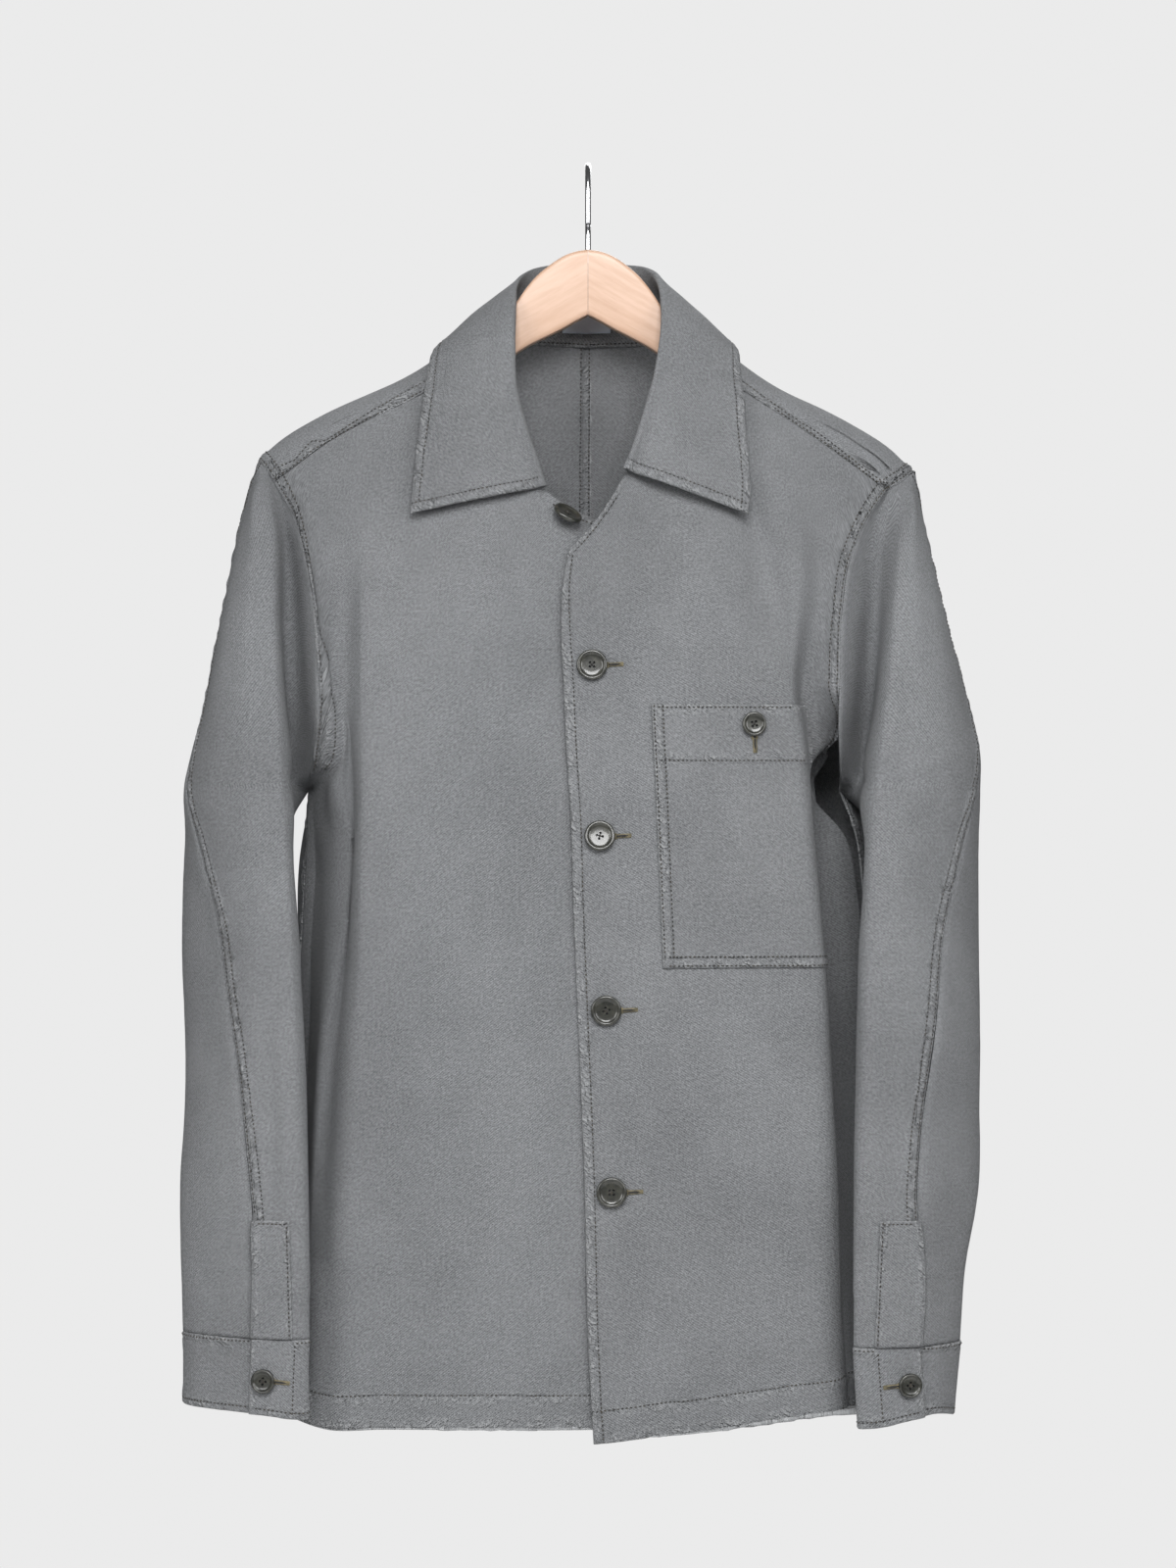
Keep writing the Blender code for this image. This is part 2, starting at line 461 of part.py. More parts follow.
def add_object(name, bm, material, smooth=True):
    mesh = bpy.data.meshes.new(name)
    bm.to_mesh(mesh)
    bm.free()
    mesh.materials.append(material)
    if smooth:
        mesh.shade_smooth()
        mesh.set_sharp_from_angle(angle=math.radians(40))
    piece = bpy.data.objects.new(name, mesh)
    bpy.context.scene.collection.objects.link(piece)
    return piece


def cloth_wall(name, outer, inner, material):
    """A closed wall of cloth between an outer and an inner grid."""
    rows, columns = len(outer), len(outer[0])
    bm = bmesh.new()
    number = bm.verts.layers.int.new("number")
    bmesh.ops.create_grid(bm, x_segments=columns - 1, y_segments=rows - 1, size=0.5)
    ordered = sorted(bm.verts, key=lambda vert: (round(vert.co.y, 4), round(vert.co.x, 4)))
    outer_points = [point for row in outer for point in row]
    inner_points = [point for row in inner for point in row]
    for index, vert in enumerate(ordered):
        vert[number] = index
        vert.co = outer_points[index] * MM
    made = bmesh.ops.extrude_face_region(bm, geom=list(bm.faces), use_keep_orig=True)
    for vert in made["geom"]:
        if isinstance(vert, bmesh.types.BMVert):
            vert.co = inner_points[vert[number]] * MM
    bmesh.ops.recalc_face_normals(bm, faces=list(bm.faces))
    return add_object(name, bm, material)


def sheet_of(name, grid, faces, material, thick=CLOTH):
    return cloth_wall(name, grid, moved(grid, faces, -thick), material)


class Surface:
    """Finds where a straight line meets a grid, to seat a button on it."""

    def __init__(self, grid):
        columns = len(grid[0])
        points = [point for row in grid for point in row]
        quads = [
            (i * columns + j, i * columns + j + 1, (i + 1) * columns + j + 1, (i + 1) * columns + j)
            for i in range(len(grid) - 1)
            for j in range(columns - 1)
        ]
        self.tree = BVHTree.FromPolygons(points, quads)

    def front(self, x, height):
        """The point and the way it faces, met from the front."""
        point, way, _, _ = self.tree.ray_cast(Vector((x, -1000, height + DATUM)), Vector((0, 1, 0)))
        return point, way if way.y < 0 else -way


def ring_body(name, rings, material):
    """A solid pushed from one ring of points to the next."""
    bm = bmesh.new()
    number = bm.verts.layers.int.new("number")
    verts = [bm.verts.new(point * MM) for point in rings[0]]
    for index, vert in enumerate(verts):
        vert[number] = index
    faces = [bm.faces.new(verts)]
    for step, ring in enumerate(rings[1:]):
        made = bmesh.ops.extrude_face_region(bm, geom=faces, use_keep_orig=True)
        if step:
            bmesh.ops.delete(bm, geom=faces, context="FACES_ONLY")
        faces = [item for item in made["geom"] if isinstance(item, bmesh.types.BMFace)]
        for vert in made["geom"]:
            if isinstance(vert, bmesh.types.BMVert):
                vert.co = ring[vert[number]] * MM
    bmesh.ops.recalc_face_normals(bm, faces=list(bm.faces))
    return add_object(name, bm, material)


def turned_button(name, point, way, width, material, thick=BUTTON_THICK, steps=16):
    """A button with a raised rim and a dished middle, its back on the given point."""
    half = width / 2
    profile = (
        (0, 0), (half * 0.86, 0), (half, thick * 0.3), (half, thick * 0.72), (half * 0.93, thick),
        (half * 0.8, thick * 0.94), (half * 0.7, thick * 0.68), (0, thick * 0.62),
    )
    bm = bmesh.new()
    verts = [bm.verts.new((r * MM, 0, z * MM)) for r, z in profile]
    edges = [bm.edges.new(pair) for pair in zip(verts, verts[1:])]
    bmesh.ops.spin(
        bm, geom=verts + edges, cent=(0, 0, 0), axis=(0, 0, 1), angle=math.tau, steps=steps, use_merge=True
    )
    bmesh.ops.remove_doubles(bm, verts=list(bm.verts), dist=1e-6)
    bmesh.ops.recalc_face_normals(bm, faces=list(bm.faces))
    piece = add_object(name, bm, material)
    piece.rotation_euler = Vector((0, 0, 1)).rotation_difference(way).to_euler()
    piece.location = point * MM
    return piece


# The body: fronts and backs.


def front_grid(side):
    lines = [hanging_line(side, rows) for rows in FRONT[side].values()]
    lines.append(armhole_line(side, "front", SIDE_SEAM[side]))
    grid = weave(lines, BODY_ROWS, FRONT_STEPS[side])
    set_on_seam(side, grid[0], sum(FRONT_STEPS[side][: NECK_POINT["front"]]))
    return grid, facing(grid, side)


def shoulder_end(side):
    """The end of the shoulder, from the forward seam over the tip to the armhole on the back."""
    knots = [-value for value in WRAP + (TOP,)]
    points = [place(side, *row) for row in SHOULDER_WRAP[side]]
    points.append(place(side, *ARMHOLE[side, "back"][0][1:]))
    return spline(knots, points)


def back_grid(side, front):
    lines = [wrapped_line(side, BACK_WRAP[name], rows) for name, rows in BACK_HANG.items()]
    hole = armhole_line(side, "back", SIDE_SEAM[side])
    wrap = shoulder_end(side)
    lines.append(lambda value: wrap(value) if value <= -TOP else hole(value))
    grid = weave(lines, WRAP_ROWS + BODY_ROWS, BACK_STEPS[side])
    first, other = sum(BACK_STEPS[side][: NECK_POINT["back"]]), sum(FRONT_STEPS[side][: NECK_POINT["front"]])
    grid[0][first:] = front[0][other:]
    return grid, facing(grid, -side)


def sleeve_grid(side):
    below = SLEEVE[side]["underarm"]
    lines = [armhole_line(side, "front", below)]
    lines += [hanging_line(side, rows) for name, rows in SLEEVE[side].items() if name != "underarm"]
    lines.append(armhole_line(side, "back", below))
    grid = weave(lines, SLEEVE_ROWS + (CUFF_TOP[side],), SLEEVE_STEPS)
    head = shoulder_end(side)
    marks = []
    for start, end, steps in zip(HEAD_MARKS, HEAD_MARKS[1:], SLEEVE_STEPS):
        marks += [start + (end - start) * step / steps for step in range(steps)]
    grid[0] = [head(-WRAP[0] + (WRAP[0] - TOP) * mark) for mark in marks + [1.0]]
    faces = facing(grid, side)
    under = ARMHOLE_ROWS.index(UNDERARM)
    for row, face in zip(grid[under:], faces[under:]):
        face[0] = face[-1] = (face[0] + face[-1]).normalized()
    return grid, faces


def rim(grid, faces, cells):
    return [(grid[i][j], faces, i, j) for i, j in cells]


def join_rims(front, back, sleeve):
    """The pieces round an armhole and along the shoulder face the same way where they meet."""
    hole = len(ARMHOLE_ROWS) - 1
    wrap = len(WRAP_ROWS)
    front_last, back_last = len(front[0][0]) - 1, len(back[0][0]) - 1
    sleeve_last = len(sleeve[0][0]) - 1
    body = rim(*front, [(i, front_last) for i in range(hole)])
    body += rim(*back, [(i, back_last) for i in range(hole + wrap)])
    cap = rim(*sleeve, [(i, 0) for i in range(hole)])
    cap += rim(*sleeve, [(0, j) for j in range(1, sleeve_last)])
    cap += rim(*sleeve, [(i, sleeve_last) for i in range(hole)])
    share_rims(body, cap)
    rows = len(front[0])
    share_rims(
        rim(*front, [(i, front_last) for i in range(hole, rows)]),
        rim(*back, [(i + wrap, back_last) for i in range(hole, rows)]),
    )
    share_rims(
        rim(*front, [(0, j) for j in range(front_last)]),
        rim(*back, [(0, j) for j in range(back_last)]),
    )


def build_body(cloth):
    """Fronts, backs and sleeves. Returns what the other pieces are laid on."""
    laid = {}
    for side, name in ((LEFT, "right"), (RIGHT, "left")):
        front, sleeve = front_grid(side), sleeve_grid(side)
        back = back_grid(side, front[0])
        for face in back[1]:
            face[0] = Vector((0, face[0].y, face[0].z)).normalized()
        join_rims(front, back, sleeve)
        half = SEAM / 2
        sheet_of("front_" + name, trim(front[0], right=half, top=half), front[1], cloth)
        sheet_of("back_" + name, trim(back[0], left=half, right=half, top=half), back[1], cloth)
        split = sum(SLEEVE_STEPS[:SEAM_LINE])
        rows, last = len(sleeve[0]) - 1, len(sleeve[0][0]) - 1
        for piece, columns in (("sleeve_top_", (0, split)), ("sleeve_under_", (split, last))):
            grid = part_of(sleeve[0], (0, rows), columns)
            faces = part_of(sleeve[1], (0, rows), columns)
            trimmed = trim(grid, left=half, right=half, top=CAP_GAP, bottom=half)
            sheet_of(piece + name, trimmed, faces, cloth)
        laid[side] = {"front": front, "back": back, "sleeve": sleeve}
    return laid


# What lies on the body: pocket, facing, label, cuffs and plackets.


def build_pocket(laid, cloth):
    grid, faces = laid[RIGHT]["front"]
    rows = (BODY_ROWS.index(POCKET_TOP), BODY_ROWS.index(POCKET_FOOT))
    band = BODY_ROWS.index(POCKET_BAND) - rows[0]
    columns = (sum(FRONT_STEPS[RIGHT][:POCKET_LINES[0]]), sum(FRONT_STEPS[RIGHT][:POCKET_LINES[1]]))
    panel, ways = part_of(grid, rows, columns), part_of(faces, rows, columns)
    outer = moved(panel, ways, lambda i, j: LIFT + (DOUBLE if i <= band else CLOTH))
    cloth_wall("pocket", outer, moved(panel, ways, LIFT), cloth)


def build_facing(laid, cloth, pale):
    """The shaped facing inside the back neck and the bare label over its top edge."""
    columns, rows = (0, sum(BACK_STEPS[LEFT][:1])), (1, FACING_FOOT)
    halves = {side: [part_of(item, rows, columns) for item in laid[side]["back"]] for side in (LEFT, RIGHT)}
    panel = [left[::-1] + right[1:] for left, right in zip(halves[LEFT][0], halves[RIGHT][0])]
    ways = [left[::-1] + right[1:] for left, right in zip(halves[LEFT][1], halves[RIGHT][1])]
    under = moved(panel, ways, -CLOTH - LIFT)
    top = moved(panel, ways, -CLOTH - LIFT - CLOTH)
    cloth_wall("neck_facing", top, under, cloth)
    width, middle, high, low = LABEL
    surface = Surface(top)
    spots = [surface.front(middle + width * part / 4, FACING_TOP)[0] for part in (-2, -1, 0, 1, 2)]
    back = [[Vector((spot.x, spot.y - LIFT, height + DATUM)) for spot in spots] for height in (high, low)]
    front = [[point - Vector((0, LABEL_THICK, 0)) for point in row] for row in back]
    cloth_wall("neck_label", front, back, pale)


def build_cuff(side, name, cloth):
    """A cuff that starts at its buttoned end, goes round the wrist and tucks under itself."""
    foot = CUFF_FOOT[side]
    order = ("seam", "face", "crease", "ridge", "valley", "underarm", "inside", "back", "rear")
    inward = Vector((-0.25 * side, 0.97, 0))
    rows = []
    for part in (0.0, 0.5, 1.0):
        ring = []
        for key in order:
            top = place(side, *SLEEVE[side][key][-1][1:], CUFF_TOP[side] - SEAM / 2)
            out, depth, height = foot[key]
            ring.append(top.lerp(place(side, out, depth, height), part))
        seam, face = ring[0], ring[1]
        away = (seam - face).normalized()
        ring[0] = seam - inward * 0.6
        ring += [seam + away * 5 + inward * 2.2, seam - away * 3 + inward * 2.9, seam - away * 15 + inward * 3.4]
        rows.append(across(ring, CUFF_STEPS))
    sheet_of("cuff_" + name, rows, facing(rows, -side), cloth, DOUBLE)
    return rows


def build_placket(side, name, laid, cloth):
    """The strip over the sleeve opening, from the seam line to the crease."""
    grid, faces = laid[side]["sleeve"]
    rows = (SLEEVE_ROWS.index(PLACKET_TOP), len(grid) - 1)
    columns = (sum(SLEEVE_STEPS[:3]), sum(SLEEVE_STEPS[:SEAM_LINE]))
    panel, ways = part_of(grid, rows, columns), part_of(faces, rows, columns)
    panel = trim(panel, right=SEAM, bottom=SEAM)
    cloth_wall("placket_" + name, moved(panel, ways, LIFT + CLOTH), moved(panel, ways, LIFT), cloth)


# The collar.


def neckline(laid):
    """The line that the collar is sewn to, from one front end round the back to the other."""
    halves = {}
    for side in (LEFT, RIGHT):
        steps, back_steps = FRONT_STEPS[side], BACK_STEPS[side]
        front = laid[side]["front"][0][0][sum(steps[:2]) : sum(steps[: NECK_POINT["front"]]) + 1]
        back = laid[side]["back"][0][0][: sum(back_steps[: NECK_POINT["back"]]) + 1]
        halves[side] = front + back[::-1][1:]
    return halves[LEFT] + halves[RIGHT][::-1][1:]


def nearest_on(line, point):
    best = None
    for start, end in zip(line, line[1:]):
        way = end - start
        part = min(max((point - start).dot(way) / max(way.length_squared, 1e-9), 0.0), 1.0)
        found = start + way * part
        if best is None or (found - point).length < (best - point).length:
            best = found
    return best


def collar_section(seam, roll, edge):
    """From the neck seam up the stand, over the roll and down the fall."""
    rise = (roll - seam).normalized()
    fall = (edge - roll) - rise * (edge - roll).dot(rise)
    out = fall.normalized()
    middle = roll - rise * ROLL_RADIUS
    bend = [middle - out * ROLL_RADIUS, middle + (rise - out) * ROLL_RADIUS * 0.7, roll]
    bend += [middle + (rise + out) * ROLL_RADIUS * 0.7, middle + out * ROLL_RADIUS]
    way = edge - bend[-1]
    bow = (rise - way.normalized() * rise.dot(way.normalized())).normalized() * COLLAR_BOW
    leaf = [bend[-1] + way * part + bow * math.sin(math.pi * part) for part in (0.25, 0.5, 0.75, 1.0)]
    foot = seam + rise * COLLAR_GAP
    return [foot, foot.lerp(bend[0], 0.5)] + bend + leaf


def collar_grid(laid):
    line = neckline(laid)
    stations = []
    for side in (LEFT, RIGHT):
        half = [[place(side, *point) for point in row] for row in COLLAR[side]]
        stations += half if side == LEFT else half[::-1]
    knots = list(range(len(stations)))
    curves = [spline(knots, [row[index] for row in stations]) for index in range(3)]
    grid = []
    for step in range(COLLAR_ROWS + 1):
        value = knots[-1] * step / COLLAR_ROWS
        seam, roll, edge = (curve(value) for curve in curves)
        grid.append(collar_section(nearest_on(line, seam), roll, edge))
    return grid, facing(grid, COLLAR_TURN)


# Buttons, hanger and hook.


def build_buttons(laid, horn):
    over = Surface(laid[RIGHT]["front"][0])
    under = Surface(laid[LEFT]["front"][0])
    spots = [("button_%d" % (index + 1), over, spot, BUTTON, 0) for index, spot in enumerate(MAIN_BUTTONS)]
    spots.append(("button_pocket", over, POCKET_BUTTON, SMALL_BUTTON, LIFT + DOUBLE))
    for name, surface, (x, height), width, above in spots:
        point, way = surface.front(x, height)
        turned_button(name, point + way * (above + BUTTON_LIFT), way, width, horn)
    point, _ = under.front(*NECK_BUTTON)
    turned_button("button_neck", point - Vector((0, NECK_SHANK, 0)), Vector(NECK_WAY).normalized(), BUTTON, horn)
    for side, name in ((LEFT, "right"), (RIGHT, "left")):
        out, height = CUFF_BUTTON[side]
        point, way = Surface(laid[side]["cuff"]).front(side * out, height)
        turned_button("button_cuff_" + name, point + way * BUTTON_LIFT, way, SMALL_BUTTON, horn)


def build_hanger(wood, chrome):
    for side, name in ((LEFT, "right"), (RIGHT, "left")):
        knots = [row[0] for row in ARM]
        curve = spline(knots, [Vector(row[1:]) for row in ARM])
        thick = spline(ARM_THICK_AT, [Vector((value, 0, 0)) for value in ARM_THICK])
        rings = []
        for step in range(ARM_STEPS + 1):
            share = step / ARM_STEPS
            out = knots[0] + (knots[-1] - knots[0]) * (share**1.35 if share < 1 else 1)
            top, bottom, depth = curve(out)
            half = thick(out).x / 2
            drop = dip(side, out)
            ring = [
                place(side, out, depth + half * y, bottom + (top - bottom) * z - drop) for y, z in ARM_SECTION
            ]
            rings.append(ring)
        for point in rings[0]:
            point.x = side * SEAM / 2
        ring_body("hanger_arm_" + name, rings, wood)
    bend = HOOK_RADIUS + HOOK_WIRE / 2
    path = [Vector((0, 0, HOOK_STEM_FOOT + DATUM)), Vector((0, 0, -47)), Vector((0, 1, -41))]
    path += [Vector((0, 6, -35)), Vector((0, 13.5, -29)), Vector((0, 18.5, -23.5))]
    for step in range(13):
        angle = math.pi * step / 12
        path.append(Vector((0, bend * math.cos(angle), -HOOK_RADIUS + bend * math.sin(angle))))
    path += [Vector((0, -bend - 0.2, -26)), Vector((0, -bend + 0.3, -34)), Vector((0, -bend + 1, -42))]
    wire = bpy.data.curves.new("hook", "CURVE")
    wire.dimensions = "3D"
    wire.bevel_depth = HOOK_WIRE / 2 * MM
    wire.bevel_resolution = 2
    wire.use_fill_caps = True
    run = wire.splines.new("POLY")
    run.points.add(len(path) - 1)
    for point, spot in zip(run.points, path):
        point.co = (*(spot * MM), 1)
    wire.materials.append(chrome)
    bpy.context.scene.collection.objects.link(bpy.data.objects.new("hook", wire))


def main():
    for item in list(bpy.data.objects):
        bpy.data.objects.remove(item, do_unlink=True)
    cloth = finish("grey_green_twill", (0.22, 0.225, 0.205), 0.9)
    pale = finish("bare_label", (0.55, 0.6, 0.68), 0.8)
    horn = finish("olive_button", (0.07, 0.072, 0.062), 0.35)
    wood = finish("pale_beech", (0.82, 0.55, 0.38), 0.45)
    chrome = finish("chrome_wire", (0.75, 0.76, 0.78), 0.15, 1.0)
    laid = build_body(cloth)
    build_pocket(laid, cloth)
    build_facing(laid, cloth, pale)
    for side, name in ((LEFT, "right"), (RIGHT, "left")):
        laid[side]["cuff"] = build_cuff(side, name, cloth)
        build_placket(side, name, laid, cloth)
    grid, faces = collar_grid(laid)
    sheet_of("collar", grid, faces, cloth, COLLAR_THICK)
    build_buttons(laid, horn)
    build_hanger(wood, chrome)


main()
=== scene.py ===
"""The look of a grey-green twill overshirt on a wooden hanger: its folds and sewing, buttons, wood and wire.

Metres, +Z up, in the part's frame. The tables are in millimetres. Their heights start DATUM below the crown
of the hook, and "out" is the distance from the middle, so that one table serves a viewer's left side (-1) or
a right side (+1). The names in SIDES are the wearer's.
"""

import itertools
import math

import bmesh
import bpy
import numpy as np
from mathutils import Matrix, Vector, noise
from mathutils.bvhtree import BVHTree


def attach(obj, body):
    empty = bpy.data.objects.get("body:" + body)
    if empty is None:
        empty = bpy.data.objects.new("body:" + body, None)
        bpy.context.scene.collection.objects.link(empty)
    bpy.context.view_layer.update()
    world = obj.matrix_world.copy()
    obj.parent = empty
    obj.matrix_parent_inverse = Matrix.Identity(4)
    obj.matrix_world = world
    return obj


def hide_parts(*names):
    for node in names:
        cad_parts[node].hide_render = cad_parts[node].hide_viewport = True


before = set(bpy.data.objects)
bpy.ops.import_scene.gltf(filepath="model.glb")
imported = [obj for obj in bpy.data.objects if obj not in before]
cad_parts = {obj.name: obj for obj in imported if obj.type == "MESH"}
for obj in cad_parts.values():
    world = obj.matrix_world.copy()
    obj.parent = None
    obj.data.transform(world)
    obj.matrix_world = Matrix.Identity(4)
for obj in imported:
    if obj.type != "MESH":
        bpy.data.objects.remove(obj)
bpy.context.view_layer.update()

MM = 0.001  # metres in a millimetre
DATUM = -7.0
LEFT, RIGHT = -1, 1
SIDES = ((LEFT, "right"), (RIGHT, "left"))

CLOTH = 1.2  # one layer of twill
DOUBLE = 2.0  # collar, cuffs and facings
SEAM = 0.3  # what parts two pieces at a seam
UNDERLAP = 2.5  # how far one back reaches under the other
CAP_GAP = 0.6  # the sleeve head under the shoulder
LIFT = 0.35  # what parts a piece from the cloth that it lies on

TOP, LEVEL, UNDERARM = -209.0, -350.0, -412.0  # stations: shoulder, first level row, underarm
WRAP = (-193.0, -197.0, -201.0, -205.0)  # stations from the forward shoulder seam to behind the ridge
WRAP_ROWS = (-193, -195, -197, -199, -201, -203, -205, -207)
ARMHOLE_ROWS = (-209, -218, -230, -245, -265, -285, -310, -335, -357, -378, -396, -406, -412)
BODY_ROWS = ARMHOLE_ROWS + (-440, -485, -530, -580, -640, -700, -760, -805, -842)
SLEEVE_ROWS = ARMHOLE_ROWS + (-430, -450, -480, -520, -560, -600, -645, -693, -732)
CUFF_TOP = {LEFT: -770, RIGHT: -775}
POCKET_TOP, POCKET_FOOT = -357, -530
PLACKET_TOP = -693

# Armholes: station, out, depth, height. They start at the forward shoulder seam or behind the ridge.
ARMHOLE = {
    (LEFT, "front"): ((-209, 210.0, -28, -207), (-222, 198.5, -33, -226), (-245, 190.0, -42, -252),
        (-265, 184.5, -48, -278), (-285, 181.3, -52, -300), (-335, 179.3, -54, -337),
        (-378, 180.4, -49, -374), (-396, 184.0, -36, -396), (-406, 187.0, -18, -408),
        (-412, 188.8, 2, -413)),
    (LEFT, "back"): ((-209, 216.0, 0, -203), (-222, 209.0, 14, -222), (-245, 202.0, 25, -247),
        (-285, 191.0, 41, -296), (-335, 187.0, 43, -340), (-378, 186.0, 37, -376), (-396, 186.5, 29, -394),
        (-406, 187.5, 17, -407), (-412, 188.8, 2, -413)),
    (RIGHT, "front"): ((-209, 200.0, -28, -213), (-222, 188.6, -34, -229), (-245, 178.0, -42, -251),
        (-265, 172.0, -46, -270), (-285, 168.7, -50, -294), (-335, 167.2, -51, -336),
        (-378, 166.6, -46, -374), (-396, 168.0, -33, -396), (-406, 169.5, -16, -408),
        (-412, 170.5, 2, -413)),
    (RIGHT, "back"): ((-209, 216.0, 0, -209), (-222, 208.0, 14, -228), (-245, 199.0, 25, -251),
        (-285, 186.0, 41, -296), (-335, 179.0, 43, -340), (-378, 175.0, 37, -376), (-396, 173.0, 29, -394),
        (-406, 171.5, 17, -407), (-412, 170.5, 2, -413)),
}

# Side seams below the underarm, and the underarm seams of the sleeves: height, out, depth.
SIDE_SEAM = {
    LEFT: ((-413, 188.8, 2), (-440, 190, 4), (-530, 195, 6), (-600, 196.5, 6), (-700, 198, 6),
        (-827, 198.5, 6)),
    RIGHT: ((-413, 170.5, 2), (-440, 181, 5), (-485, 188, 7), (-530, 192, 8), (-600, 194, 8),
        (-816, 196, 5)),
}

# Lines down each front, from the front edge to just before the armhole: height, out, depth.
FRONT = {
    LEFT: {
        "edge": ((-240, -24, -45), (-252, -24, -58), (-300, -24, -67), (-357, -24, -71), (-412, -24, -74),
            (-530, -24, -79), (-680, -24, -79.5), (-760, -24, -76.5), (-832, -24, -75)),
        "button": ((-233, -3, -47), (-247, -4, -59), (-300, -6, -67.5), (-357, -7, -71.5),
            (-412, -8, -74.5), (-530, -8, -79.5), (-680, -8, -80), (-760, -8, -77), (-832, -8, -75.5)),
        "collar end": ((-214, 29, -61), (-245, 27, -65), (-300, 26, -69), (-357, 26, -73), (-412, 26, -76),
            (-530, 26, -81), (-680, 26, -81.5), (-760, 27, -79), (-832, 28, -77.5)),
        "neck": ((-176, 50, -47), (-215, 49, -57), (-260, 48, -65), (-300, 48, -69), (-357, 49, -73),
            (-412, 50, -76), (-530, 52, -81), (-680, 54, -81), (-760, 55, -78.5), (-832, 56, -77)),
        "neck point": ((-116, 66, -18), (-150, 68, -34), (-190, 70, -48), (-230, 71, -57), (-300, 72, -68),
            (-357, 74, -73), (-412, 76, -76), (-530, 80, -80.5), (-680, 84, -80.5), (-760, 86, -78),
            (-832, 88, -76.5)),
        "shoulder": ((-148, 112, -22), (-180, 112, -33), (-215, 112, -43), (-300, 112, -60),
            (-357, 114, -67), (-412, 116, -71), (-530, 120, -76), (-680, 128, -77), (-832, 134, -74.5)),
        "crease": ((-166.5, 150, -25), (-200, 151, -35), (-240, 151, -43), (-300, 150, -54),
            (-357, 150, -62), (-412, 149, -66), (-470, 148, -68), (-530, 150, -70), (-600, 156, -71),
            (-680, 164, -71.5), (-760, 168, -71), (-833, 170, -70.5)),
        "fold": ((-189, 186, -27), (-215, 181, -34), (-245, 175, -42), (-300, 168, -52), (-357, 168, -58),
            (-412, 175, -50), (-450, 168.5, -56), (-485, 169, -59), (-530, 174.5, -60), (-600, 184, -58),
            (-680, 190.5, -55), (-760, 194, -52), (-828, 196, -50)),
        "turn": ((-198.5, 199, -27.6), (-222, 189, -34.5), (-245, 183, -41.5), (-300, 175, -52),
            (-357, 174, -56), (-396, 179, -38), (-412, 181.5, -25), (-450, 182, -28), (-530, 188, -28),
            (-600, 193, -26), (-680, 196, -24), (-827, 199, -20)),
    },
    RIGHT: {
        "edge": ((-256, -13, -69), (-280, -17, -71.5), (-306, -17.8, -73.5), (-349, -16, -76),
            (-392, -14, -78.5), (-423, -11.8, -80), (-497, -9.4, -83), (-563, -6.7, -84), (-666, -2.6, -84),
            (-782, 0.3, -81), (-842, 3.6, -80)),
        "button": ((-232, 7.5, -70), (-256, 4, -71.5), (-306, 2, -73.5), (-349, 3, -76), (-423, 5, -80),
            (-497, 7, -83), (-563, 9, -84), (-666, 12, -84), (-782, 14, -81), (-841, 15, -80)),
        "collar end": ((-204, 25, -66), (-245, 23, -70), (-300, 21, -73), (-357, 21, -76), (-412, 22, -79),
            (-530, 24, -83), (-680, 26, -83), (-760, 27, -80.5), (-839.5, 28, -79.5)),
        "pocket": ((-172, 44, -50), (-215, 41, -60), (-260, 40, -67), (-300, 40.5, -70.5),
            (-357, 41.5, -74), (-412, 44, -77), (-470, 46.5, -80), (-530, 49, -81.5), (-680, 51, -81.5),
            (-760, 52, -79.5), (-836, 53, -78)),
        "neck point": ((-118, 66, -18), (-150, 68, -34), (-190, 70, -48), (-230, 72, -57), (-300, 75, -67),
            (-357, 77, -71), (-412, 78, -74), (-530, 82, -78.5), (-680, 90, -79), (-831, 97, -76)),
        "shoulder": ((-148.5, 110, -22), (-180, 110, -33), (-215, 110, -43), (-300, 110, -60),
            (-357, 111, -68), (-412, 113, -71.5), (-530, 118, -75), (-600, 124, -76.5), (-680, 132, -77),
            (-825, 140, -75)),
        "fold": ((-173.5, 146, -25), (-200, 144, -35), (-240, 141, -46), (-300, 138.5, -60),
            (-357, 137, -69), (-412, 140.5, -69), (-470, 147, -69), (-530, 153, -69), (-600, 159, -69),
            (-680, 171, -69), (-760, 176, -69), (-820, 179, -68)),
        "turn": ((-195, 176, -27), (-222, 166, -36), (-250, 158, -42), (-300, 150, -46), (-357, 147.5, -42),
            (-396, 154, -38), (-412, 156, -36), (-470, 164, -33), (-530, 170, -31), (-600, 176, -29),
            (-680, 185, -28), (-817, 192, -27)),
    },
}
FRONT_STEPS = {LEFT: (1, 2, 2, 2, 2, 2, 2, 1, 2), RIGHT: (2, 1, 2, 2, 2, 2, 2, 2)}

# Lines down each back half: four places from the forward seam to behind the ridge (out, depth, height),
# then height, out, depth.
BACK_WRAP = {
    "centre": ((0, 38, -92), (0, 38.6, -97), (0, 39.2, -103), (0, 40, -110)),
    "neck": ((46, 24, -95), (48, 24.5, -98), (50, 25, -102), (52, 26, -107)),
    "neck ridge": ((65.5, -3, -98.5), (66, -0.5, -97.8), (66.5, 5, -99), (67.5, 11.5, -104)),
    "neck point": ((66, -18, -116), (67, -14, -105), (69, -2.5, -99), (70, 10.5, -104.5)),
    "shoulder": ((112, -22, -148), (113, -18, -137), (114, -5, -130), (115, 8, -136)),
    "tip": ((176, -26.5, -181), (178, -22.5, -169), (180, -10, -160.5), (180, 2, -166)),
    "fold": ((195, -27.5, -195), (199, -24, -183), (202, -12, -174), (202, -1, -179)),
}
